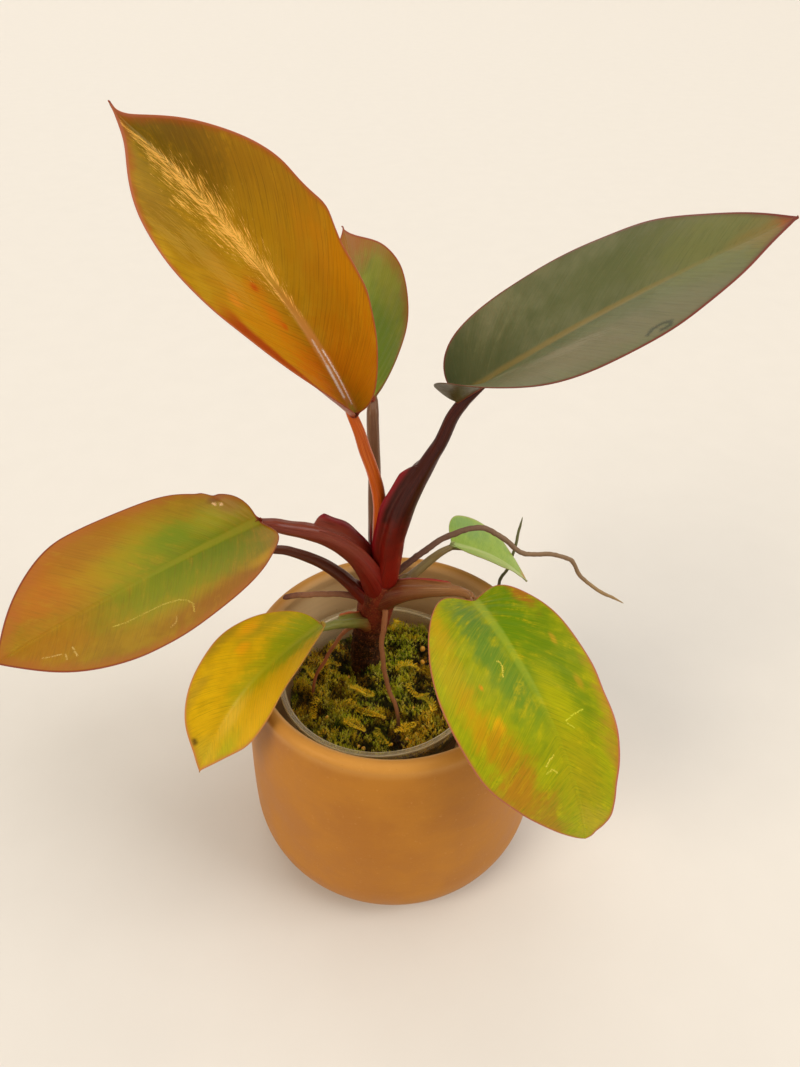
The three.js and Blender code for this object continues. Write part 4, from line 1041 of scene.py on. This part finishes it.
def blade_finish(name, look):
    """A blade's material. Its ground colour takes soft patches, frayed along the veins, each given as
    (mm along, mm to the left, reach along, reach across, colour, strength); then flecks and fine parallel
    veins of uneven strength, hems given as (side, start, end, width, colour, strength), a blushed
    margin, a soft midrib band, pale scar lines, some of which are painted glints of wet gloss, painted
    highlights given as patches are and drawn out lengthwise, a metallic gold shine painted in streaks
    along the midrib where the leaf has one, which is a painted highlight, a thin rim, and the underside's
    own colour."""
    made = Finish(name, look["ground"], Coat_Weight=look["gloss"], Coat_Roughness=0.25)
    made.set(Specular_IOR_Level=look["specular"], Specular_Tint=look["specular_tint"])
    made.set(Subsurface_Weight=0.08, Subsurface_Scale=0.002)
    along, across, under = made.mark("place")
    vein, signed_share, _ = made.mark("vein")
    rib, margin, _ = made.mark("edge")
    seat = made.join(along, across, 0.0)
    blotch = made.noise(seat, 0.1, 4.0, 0.62)
    mottle = made.noise(seat, 0.6, 4.0, 0.65)

    def veinwise(fine, lengthwise):
        """Noise drawn out along the side veins."""
        return made.noise(made.join(vein * fine, signed_share * lengthwise, 0.0), 1.0, 3.0, 0.6)

    fray = veinwise(34.0, 3.0)
    fibre = veinwise(260.0, 2.4)
    ragged = (blotch - 0.5) * 1.5 + (fray - 0.5) * 1.5 + (fibre - 0.5) * 0.5
    made.paint(blotch, 0.35, 0.65, look["ground_two"])
    for *spot, colour, strength in look["patches"]:
        made.paint(off_spot(seat, *spot) + ragged * look["fraying"], 1.4, 0.25, colour, strength)
    fleck = made.step(fray, 0.52, 0.7, 0.0, look["fleck_strength"])
    made.coat(fleck * made.step(mottle, 0.35, 0.6), look["fleck"])
    made.paint(fibre, 0.5, 0.7, look["veins"], look["fibre_strength"])
    made.paint(fibre, 0.5, 0.3, look["fleck"], look["fibre_strength"] * 0.6)

    lines = made.sum("SINE", (vein + (blotch - 0.5) * 0.012) * (2 * np.pi * look["vein_count"]))
    line_share = made.step(lines, 0.86, 1.0) * made.step(veinwise(0.9 * look["vein_count"], 1.0), 0.36, 0.66)
    made.coat(line_share * look["vein_strength"], look["veins"])
    for side, start, end, wide, colour, strength in look["hems"]:
        hem = made.step(margin + ragged * 0.8, wide, wide * 0.55, 0.0, strength)
        hem = hem * made.step(across * side, 0.0, 1.0) * made.step(along, start, start + 6.0)
        made.coat(hem * made.step(along, end, end - 14.0), colour)

    blush = margin + ragged * (look["blush_reach"] * 0.5)
    made.paint(blush, look["blush_reach"], 0.2, look["blush"], look["blush_strength"])
    fade_from, fade_to = look["midrib_fade"]
    band = made.step(rib + ragged * 0.35, 1.5, 0.5)
    made.coat(band * made.step(along, fade_to, fade_from, 0.0, look["midrib_strength"]), look["midrib"])
    crumble = (made.noise(seat, 2.0, 3.0, 0.75) - 0.5) * 2.8
    # Scar lines, and on crown_left white lines that are painted glints of wet gloss.
    for width, colour, points in look["scars_and_painted_glints"]:
        made.paint(off_line(made, seat, points) + crumble, width * 0.7, 0.0, colour, 0.8)

    lean = abs(across) - made.step(across, -0.5, 0.5, 0.3, 0.1) * along
    lengthwise = made.join(lean * 2.0, along * 0.11, made.step(across, -0.5, 0.5, 0.0, 5.0))
    thread = made.noise(lengthwise, 1.0, 4.0, 0.75) - 0.5
    # Painted highlights: pale streaks laid into the colour.
    for *spot, colour, strength in look["painted_gleams"]:
        made.paint(off_spot(seat, *spot) + thread * 4.0, 1.0, 0.5, colour, strength)
    gloss = made.step(mottle, 0.3, 0.7, look["roughness"] - 0.04, look["roughness"] + 0.06)
    # Painted highlight: a gold shine in fine streaks along the midrib, laid into the colour.
    if "painted_sheen" in look:
        widening = made.step(along, 34.0, 88.0, 1.6, 8.6)
        spread = made.sum("MINIMUM", widening, made.step(along, 132.0, 92.0, 1.0, 9.0))
        off = abs(across - made.step(along, 50.0, 90.0, 0.0, 1.5))
        painted_sheen_share = 1.0 - off / spread
        painted_sheen_share = made.step(painted_sheen_share + thread * 6.5 + (fibre - 0.5) * 2.4, 0.25, 1.2)
        beside = made.sum("MAXIMUM", made.step(rib, 0.35, 0.8), made.step(along, 52.0, 72.0))
        painted_sheen_share = painted_sheen_share * made.step(along, 28.0, 46.0) * beside
        made.coat(painted_sheen_share * 0.9, look["painted_sheen"])
        gloss = gloss - painted_sheen_share * 0.12
    made.paint(margin, 0.55, 0.2, look["rim"])

    below = made.mix(made.step(blotch, 0.35, 0.65), look["under"], look["under_two"])
    below = made.mix(made.step(lines, 0.6, 1.0) * 0.3, below, look["veins"])
    below = made.mix(made.step(rib, 1.3, 0.7), below, look["under_rib"])
    made.paint(under, 0.45, 0.55, below)
    relief = made.bump(lines * -0.3 + fibre * 1.2, 0.05, 0.6)
    relief = made.bump(made.noise(seat, 2.2, 3.0, 0.6), 0.04, 0.4, relief)
    return made.close(Normal=relief, Roughness=gloss)


# What the leaves share. Swellings of the margin are (side, mm along, reach, mm out), with 1 for the left
# side and -1 for the right, and the ears are mm back on the left and on the right.
COMMON_LOOK = {
    "margin": (), "ears": (0, 0), "hook": 0, "ribbing": 0.05, "flutter": 0.25, "swell": 0.25, "rib": 2.0,
    "relief": 0.6, "vein_count": 80, "vein_strength": 0.3, "fraying": 0.6, "fleck_strength": 0.35,
    "fibre_strength": 0.35, "roughness": 0.42, "specular": 0.2, "specular_tint": "ffe0a0", "gloss": 0.06,
    "blush_reach": 4.0, "blush_strength": 0.6, "midrib_strength": 0.6, "midrib_fade": (40.0, 110.0),
    "under_rib": "7a3020", "scars_and_painted_glints": (), "hems": (), "painted_gleams": (),
}
LOOKS = {
    "crown_left": {
        "ground": "a07a0e", "ground_two": "aa8418", "veins": "5e470a", "fleck": "b8860e",
        "midrib": "c68644", "rim": "9a5434", "blush": "9a4614", "blush_reach": 1.8, "under": "8c3a1c",
        "under_two": "a04c22", "vein_strength": 0.45, "vein_count": 74, "relief": 0.3, "rib": 2.9,
        # The gold shine colour below is a painted highlight along the midrib.
        "midrib_fade": (30.0, 70.0), "midrib_strength": 0.85, "painted_sheen": "f8c05c", "hook": -2.0,
        "patches": [
            (118, -6, 32, 20, "66540a", 0.9), (104, -16, 24, 13, "6c5006", 0.88),
            (112, 12, 26, 12, "8e7012", 0.7), (77, -24, 28, 15, "966c08", 0.85),
            (60, -14, 26, 10, "a8800f", 0.7), (41, -28, 28, 15, "b67808", 0.9),
            (17, -12, 22, 20, "b67008", 0.95), (92, 18, 24, 10, "7e5e0c", 0.85),
            (66, 22, 16, 9, "986e12", 0.75), (44, 16, 24, 16, "b4760c", 0.9),
            (20, 12, 18, 12, "b86408", 0.9), (59, 9, 7, 3.4, "bc700c", 0.6), (59, 9, 2, 1.4, "b4380a", 0.7),
            (58, 22, 4, 2.6, "cf7a22", 0.6), (42, 9, 1.8, 1.4, "bc4008", 0.7),
            (47, 10, 7, 3, "c8680f", 0.6), (40, -16, 30, 8, "a06c08", 0.5),
        ],
        "hems": [(1, -4, 64, 9, "92340e", 0.95), (1, -9, 50, 2.4, "a84a20", 0.6)],
        "scars_and_painted_glints": [
            # The white and pale lines near the base are no scar marks but painted highlights of the wet gloss
            # on the midrib.
            (0.9, "ffffff", [(27, -1.5), (15, -1.7), (4, -1.4)]),
            (1.9, "f4f4f4", [(21, 0.9), (15, 1.2), (8, 1.4)]), (1.2, "e0cfc0", [(32, 0.4), (22, 0.9)]),
        ],
        # Painted highlights: a soft shine near the base and pale streaks on the left half.
        "painted_gleams": [
            (1, 0, 4, 2.5, "a89a30", 0.8), (74, 17, 22, 5, "bc9840", 0.26), (86, 24, 12, 3, "c09c40", 0.22),
        ],
        "margin": [
            (1, 25, 14, 1.2), (1, 40, 8, 0.5), (1, 125, 10, -1.1), (-1, 63, 4.5, 1.5), (-1, 74, 5, -0.7),
            (-1, 38, 5, 0.8), (-1, 52, 4, -0.6),
        ],
    },
    "crown_right": {
        # The ground's grey cast is partly painted reflection over the leaf's own olive green.
        "ground": "5a6042", "ground_two": "64684a", "veins": "3e4630", "fleck": "74744e",
        "midrib": "8a7038", "rim": "6c3430", "blush": "5c4a3c", "blush_reach": 1.3, "under": "3c3418",
        "under_two": "4e4220", "rib": 2.6, "relief": 0.25, "fibre_strength": 0.24, "vein_strength": 0.18,
        "fleck_strength": 0.2, "midrib_fade": (60.0, 124.0), "midrib_strength": 0.5, "ears": (0, 1.9),
        "patches": [
            (72, 14, 28, 11, "525a34", 0.6), (13, 10, 26, 14, "465030", 0.8),
            # The grey-brown patches at 54 and 91 mm on the right half are painted reflection on the lower
            # half.
            (104, 4, 26, 18, "6c7040", 0.7), (54, -20, 36, 11, "70684e", 0.7),
            (91, -18, 24, 9, "6c6a52", 0.6), (117, -1, 11, 6, "80693a", 0.7),
            (124, 0, 6, 5, "944024", 0.85), (0, -7, 6, 6, "4c4424", 0.85),
        ],
        # Painted highlights: pale streaks of shine on the lower half near the base.
        "painted_gleams": [(22, -10, 15, 3, "8a8268", 0.5), (50, -14, 18, 3.5, "88806a", 0.4)],
        "scars_and_painted_glints": [
            (
                1.7, "333a30",
                [(78.6, -24.6), (80, -22.8), (83, -22), (85.4, -22.6), (85.2, -24.2), (82.6, -24.8)],
            ),
        ],
        "margin": [(-1, 117, 7, -1.3), (-1, 42, 16, 1.2), (-1, 90, 10, 0.4)],
    },
    "crown_back": {
        "ground": "727c1e", "ground_two": "808824", "veins": "46560f", "fleck": "8a8a2c",
        "midrib": "9a9a3e", "rim": "8c4426", "blush": "965a26", "blush_reach": 6.0, "under": "6c4a24",
        "under_two": "7c5a2c", "vein_strength": 0.2,
        "patches": [
            (94, -4, 20, 18, "94602a", 0.9), (26, -8, 34, 12, "5a7616", 0.8),
            (60, -20, 24, 8, "868426", 0.6),
        ],
    },
    "left": {
        "ground": "84640c", "ground_two": "90700e", "veins": "6c5216", "fleck": "a07c1c",
        "midrib": "8c8424", "rim": "7a3a24", "blush": "985424", "blush_reach": 5.0, "under": "8a4a2a",
        "under_two": "9a5c34", "vein_strength": 0.16, "rib": 1.9, "midrib_strength": 0.55,
        "midrib_fade": (26.0, 68.0), "ears": (1.7, 0), "fraying": 0.5, "vein_count": 90,
        "patches": [
            (72, -18, 22, 15, "9c5a12", 0.9), (86, -12, 15, 8, "a05e16", 0.8),
            (52, -26, 24, 10, "945a12", 0.85), (34, 27, 26, 7, "84500f", 0.8),
            (92, 8, 20, 12, "966410", 0.8), (13, 21, 8, 3.4, "b08418", 0.75),
            (22, 13, 18, 7, "64700c", 0.7), (55, -12, 22, 14, "98800c", 0.75),
            (62, -22, 18, 9, "8c5a12", 0.75), (52, 15, 22, 8, "8c7e10", 0.8),
            (38, -5, 27, 13, "7c7e0c", 0.95), (44, 7, 32, 11, "6c760c", 0.95),
            (24, 1, 26, 10, "5c6e0a", 0.9), (34, -9, 12, 5, "5c780e", 0.7), (16, -9, 12, 6, "8c8a1c", 0.7),
            (7, -12, 7, 5, "8a6220", 0.8), (12, -15.4, 4, 1.6, "6c3c18", 0.8),
        ],
        "scars_and_painted_glints": [
            (
                0.4, "b8a444",
                [
                    (71.5, 14), (67, 15.5), (57.5, 16), (53, 16.5), (48.5, 18), (46.5, 20.5), (46, 23),
                    (48, 27),
                ],
            ),
            (0.35, "b4944c", [(53.5, 25), (55, 27.5), (57.5, 28.5)]),
            (0.4, "c4a860", [(95, 10.5), (89.5, 13.5)]), (0.35, "c4a860", [(88.5, 14.5), (89, 17)]),
            (0.4, "c4a860", [(85.5, 13), (86, 18)]), (1.2, "e4bc8c", [(13.5, -14), (13, -13.5)]),
            (1.2, "e4bc8c", [(11, -12.5), (10.5, -12.5)]),
        ],
        "margin": [(-1, 13, 9, -1.7), (-1, 12.2, 1.6, -0.9), (-1, 16, 1.5, 0.5)],
    },
    "left_back": {
        "ground": "8c8a26", "ground_two": "a08c2c", "veins": "5c5c18", "fleck": "a89034",
        "midrib": "a09c3c", "rim": "8a4224", "blush": "985c28", "blush_reach": 6.0, "under": "7c4a28",
        "under_two": "8c5a30", "vein_strength": 0.2,
        "patches": [(24, 2, 26, 12, "708c20", 0.85), (66, 0, 20, 16, "b67a28", 0.85)],
    },
    "front_left": {
        "ground": "c29c04", "ground_two": "cea608", "veins": "86780a", "fleck": "dcb414",
        "midrib": "b0a81c", "rim": "b87c3c", "blush": "b0841c", "blush_reach": 1.6, "under": "b0882c",
        "under_two": "bc9634", "midrib_strength": 0.35, "midrib_fade": (25.0, 60.0), "vein_strength": 0.62,
        "vein_count": 66, "under_rib": "a8883c", "relief": 0.08, "hook": 0,
        "patches": [
            (8, -2, 20, 12, "84960a", 0.95), (22, 0, 20, 8, "8a980a", 0.95),
            # The pale patch at 56 mm along is a painted highlight.
            (40, -2, 17, 5, "a49e0a", 0.85), (56, 3, 12, 4, "dcbc40", 0.5), (20, -17, 16, 4, "9a8c14", 0.7),
            (36, -25, 14, 4, "96801c", 0.75), (33, -14.5, 4, 2.4, "e89c08", 0.6),
            (25, -19.6, 6, 3, "e0a010", 0.8), (38, 16, 22, 6, "dcaa08", 0.7), (72, 9, 14, 5, "a4a40c", 0.8),
            (80, -1, 10, 7, "bca422", 0.75), (62, -18, 14, 3, "a08420", 0.7),
            (75.5, -7.5, 2.2, 1.9, "1a1206", 1.0),
        ],
        "margin": [
            (-1, 12, 8, -1.2), (-1, 44, 9, -0.9), (-1, 79, 7, -1.0), (1, 60, 8, 0.4), (1, 30, 6, -0.4),
        ],
    },
    "front_right": {
        "ground": "848c08", "ground_two": "90960a", "veins": "4e680c", "fleck": "bca80e",
        "midrib": "a0ae34", "rim": "a25c48", "blush": "a06a24", "blush_reach": 1.7, "under": "8c6c2c",
        "under_two": "9a7a34", "under_rib": "94603c", "vein_strength": 0.34, "fleck_strength": 0.5,
        "fibre_strength": 0.4, "fraying": 1.1, "midrib_fade": (24.0, 80.0), "rib": 2.2,
        "midrib_strength": 0.42, "swell": 0.5, "ribbing": 0.12, "vein_count": 100, "ears": (1.2, 1.2),
        "patches": [
            (22, 9, 28, 12, "5c8206", 0.95), (50, 13, 24, 10, "647e08", 0.85),
            (13, -8, 14, 8, "587a30", 0.9), (30, -9, 18, 7, "5a7e22", 0.9), (49, -6, 20, 8, "5c7e18", 0.92),
            (17, -26, 16, 5, "b09006", 0.9), (36, -29, 18, 6, "a29208", 0.85),
            (60, 7, 16, 5, "a0a004", 0.8), (56, -27, 14, 5, "b08808", 0.8), (60, -20, 6, 3, "d8a008", 0.8),
            (72, -22, 14, 7, "a67a0c", 0.85), (90, -21, 16, 10, "a06e14", 0.9),
            (106, -14, 14, 8, "987018", 0.8), (72, 25, 20, 4, "a87c28", 0.85),
            (88, 20, 14, 5, "a07c24", 0.7), (12, 18, 10, 3.4, "a4601c", 0.85),
            (38, 17.5, 3, 1.2, "c48c24", 0.6), (43, -19.3, 1.4, 0.9, "d88010", 0.8),
            (57, 17.7, 4, 1.4, "b08c1c", 0.6), (90, 4, 20, 9, "968c0e", 0.7), (112, 4, 8, 8, "a89a24", 0.7),
        ],
        "scars_and_painted_glints": [
            (0.45, "c8c838", [(68.5, 6), (67.5, 9), (67, 14)]), (0.4, "c0c038", [(69.5, 6), (72, 8)]),
            (0.5, "e8cc50", [(35.5, -8), (36.5, -7), (38.5, -7), (42.5, -9)]),
            (0.5, "dccc50", [(82, -8.5), (80, -6), (79, -4)]),
            (0.4, "d0c448", [(85, -9), (84, -6.5), (86, -5)]),
        ],
        "margin": [
            (1, 64, 7, -0.9), (1, 80, 6, 0.3), (1, 98, 6, -1.1), (1, 111, 4, 1.4), (1, 116.6, 1.3, -1.0),
            (-1, 24, 12, 0.5), (-1, 85, 14, 0.8), (-1, 108, 5, -0.5),
        ],
    },
    "back_right": {
        "ground": "7c983c", "ground_two": "8aa244", "veins": "58782c", "fleck": "9caa54",
        "midrib": "a4b070", "rim": "8c8a44", "blush": "a0a458", "blush_reach": 1.8, "under": "7c9450",
        "under_two": "8aa05c", "under_rib": "98a064", "vein_strength": 0.2,
        "patches": [
            (14, 15, 18, 9, "70904a", 0.9), (34, -6, 26, 7, "a4b05c", 0.7), (64.5, 0, 6, 8, "a8622c", 1.0),
        ],
    },
}
for phase_count, (leaf_name, leaf_look) in enumerate(LOOKS.items()):
    leaf_look = COMMON_LOOK | leaf_look
    blade_rings, blade_marks = blade(LEAVES[leaf_name], leaf_look, 1.7 * phase_count)
    leaf_blade = skin("blade_" + leaf_name + "_leaf", blade_rings, blade_marks)
    leaf_blade.data.materials.append(blade_finish("blade_" + leaf_name, leaf_look))
    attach(leaf_blade, "root")
    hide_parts("blade_" + leaf_name)
    "blade_" + leaf_name

# Aerial roots: wiry brown roots, 1 to 3 mm thick, from the stem below the crown. Two reach down into the
# mix, one is a short stub, and two wander out past the rim at the right with paler, living tips.

# Each root: points on its line with radii, and its colours at the stem, in the middle and at the tip.
ROOTS = {
    "root_long_right": (
        [
            (-3, 13, 150, 2), (4, 14, 157, 1.6), (14, 17, 164.8, 1.5), (27.8, 22, 171.3, 1.4),
            (41.7, 25, 172.6, 1.3), (52.9, 27, 163.7, 1.3), (63.4, 28.5, 154.1, 1.2),
            (74.6, 29.2, 153.5, 1.1), (85.8, 29.9, 149.2, 1.1), (92.8, 28.7, 139.3, 1),
            (102.5, 27, 131.6, 0.9), (114.5, 25, 125.4, 0.6),
        ],
        ("5c3a2a", "7a6044", "94784c"),
    ),
    "root_back_right": (
        [
            (25, 20, 68, 0.9), (27, 21, 84, 0.9), (32, 24, 98, 0.9), (42, 28, 113, 0.9), (52, 31, 122, 0.9),
            (58.5, 33, 124.5, 0.9), (61.5, 38, 120.5, 0.9), (60, 46, 113, 0.9), (57, 56, 107.5, 0.9),
            (58.1, 62, 109.5, 0.9), (62.1, 66, 112.6, 0.9), (64.8, 69, 120, 0.8), (66.6, 71, 132.3, 0.8),
            (68.6, 73, 142.9, 0.6),
        ],
        ("5c5238", "5e5a3e", "6c6a48"),
    ),
    "root_short_left": (
        [
            (-10, 16, 136, 1.8), (-18, 14, 140.1, 1.6), (-25, 12, 143.1, 1.45), (-34, 9.6, 145.4, 1.4),
            (-43, 7.1, 147, 1.4), (-50.7, 5, 147.1, 1.3),
        ],
        ("7c4a34", "9c6844", "64382a"),
    ),
    "root_front": (
        [
            (-6, 15, 134, 1.6), (-3.2, 5.6, 136.6, 1.4), (-3.8, 2, 132.5, 1.3), (-5, -1.8, 123.9, 1.2),
            (-4.6, -5.4, 116.4, 1.2), (-2.3, -11.2, 104.3, 1.1), (1.2, -15.6, 96, 1), (2.4, -18, 88, 0.9),
            (2, -19.5, 70, 0.8),
        ],
        ("aa6a3c", "8e5a30", "4c2e1a"),
    ),
    "root_front_left": (
        [
            (-12, 18, 118, 1.4), (-20.5, 12, 121.5, 1.1), (-24.4, 10, 119.4, 1), (-28.5, 8.1, 113.7, 0.9),
            (-32.7, 5.8, 106.3, 0.9), (-37, 3.8, 99.6, 0.8), (-39.7, 1.7, 92.5, 0.8), (-40.6, 0.4, 84, 0.7),
            (-40, 0, 70, 0.6),
        ],
        ("c07c50", "ac6438", "74482a"),
    ),
}


def root_finish(name, low, middle, tip):
    """Corky root skin: its colour changes from the stem to the tip, with fine cross cracks and dust."""
    made = Finish(name, low, Roughness=0.75)
    along, _, _ = made.mark("root")
    place = made.place()
    shift = along + (made.noise(place, 260, 3.0, 0.6) - 0.5) * 0.3
    cracks = made.noise(place, 1500, 4.0, 0.7)
    made.paint(shift, 0.1, 0.6, middle)
    made.paint(shift, 0.7, 1.0, tip)
    made.paint(cracks, 0.42, 0.3, "2c1a12", 0.6)
    made.paint(cracks, 0.6, 0.75, "b89878", 0.35)
    return made.close(Normal=made.bump(cracks, 0.14, 0.8))


for root_number, (root_name, (root_line, root_colours)) in enumerate(ROOTS.items()):
    root_knots = np.array(root_line, float)
    root_place = np.linspace(0, 1, 14 * len(root_line))
    root_centre = smooth_line(root_knots[:, :3], root_place)
    wander = crossing_waves(*root_centre.T, 13, seed=70 + root_number)
    root_centre = root_centre + 0.35 * np.stack([wander, -wander, np.roll(wander, 5)], -1)
    rounded_tip = np.clip((1.001 - root_place) * 26, 0, 1) ** 0.5
    root_radius = eased_radius(root_knots, root_place, 4) * rounded_tip
    root_way, _ = round_line(root_centre, np.array([0.2, -0.9, 0.5]), 20)
    knobs = crossing_waves(*np.moveaxis(root_centre[:, None] + root_way, -1, 0), 3.2, seed=80 + root_number)
    root_reach = root_radius[:, None] * (1 + 0.1 * knobs)
    root_rings = root_centre[:, None] + root_way * root_reach[..., None]
    root_marks = root_place[:, None, None] * [1, 0, 0] + 0 * root_rings
    root = skin(root_name + "_skin", root_rings, {"root": root_marks})
    root.data.materials.append(root_finish(root_name, *root_colours))
    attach(root, "root")
    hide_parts(root_name)

# Studio: a plain pale floor that turns up into a wall far away on all sides, soft light that is a little
# warm from the left and cool from the right, and the camera where the photograph was taken from, 40 cm
# up and looking down by 38 degrees.

COVE_START = 14  # metres from the pot
COVE_REACH = 8
COVE_SIDES = 96
PHOTO_HEIGHT = 1067  # pixels, of which the lens's focal length is 803
FOCAL_PIXELS = 803
cove_turn = np.linspace(np.pi / 2, 0, 25)
cove = np.stack([COVE_START + COVE_REACH * np.sin(cove_turn), COVE_REACH * (1 - np.cos(cove_turn))], -1)
floor_rings = turned(np.vstack([cove, [[13.9, 0], [6, 0], [0.01, 0]]]) / MM, COVE_SIDES)
floor_faces = ring_faces(len(floor_rings), COVE_SIDES)
studio_floor = make_mesh("studio_floor", floor_rings.reshape(-1, 3), floor_faces.tolist())
paper = Finish("pale_paper", "d3cfc9", Roughness=0.85)
paper.coat(paper.noise(paper.place(), 30, 3.0), "d7d3cd")
studio_floor.data.materials.append(paper.close())


def soft_light(name, towards, width, brightness, colour):
    """A distant round lamp, width degrees across, that shines from a direction onto the plant. White
    paper that faces it is as bright as brightness says: the lamp gives pi times that."""
    lamp = bpy.data.lights.new(name, "SUN")
    lamp.angle = np.radians(width)
    lamp.energy = brightness * np.pi
    lamp.color = colour
    made = bpy.data.objects.new(name, lamp)
    made.rotation_euler = type(made.location)(towards).to_track_quat("Z", "Y").to_euler()
    bpy.context.scene.collection.objects.link(made)


soft_light("warm_light", (-0.62, -0.5, 0.6), 30, 0.56, (1.0, 0.88, 0.72))
soft_light("cool_light", (0.85, -0.2, 0.5), 34, 0.56, (1.0, 0.97, 0.93))
soft_light("high_light", (0.2, 0.05, 0.95), 50, 0.4, (1.0, 0.95, 0.86))
soft_light("back_light", (-0.25, 0.8, 0.55), 40, 0.14, (1.0, 0.97, 0.93))
world = bpy.data.worlds.new("studio")
bpy.context.scene.world = world
world.use_nodes = True
world.node_tree.nodes["Background"].inputs["Color"].default_value = (1.0, 0.965, 0.92, 1)
world.node_tree.nodes["Background"].inputs["Strength"].default_value = 0.28

camera_data = bpy.data.cameras.new("photographer")
camera_data.sensor_width = 36
camera_data.lens = FOCAL_PIXELS / PHOTO_HEIGHT * camera_data.sensor_width
camera_data.clip_start = 0.01
camera_data.clip_end = 60
camera = bpy.data.objects.new("photographer", camera_data)
camera.location = (0.0034, -0.269, 0.399)
camera.rotation_euler = (np.radians(52.0), 0, 0)
bpy.context.scene.collection.objects.link(camera)
bpy.context.scene.camera = camera
bpy.context.scene.view_settings.view_transform = "Standard"

bpy.context.view_layer.update()
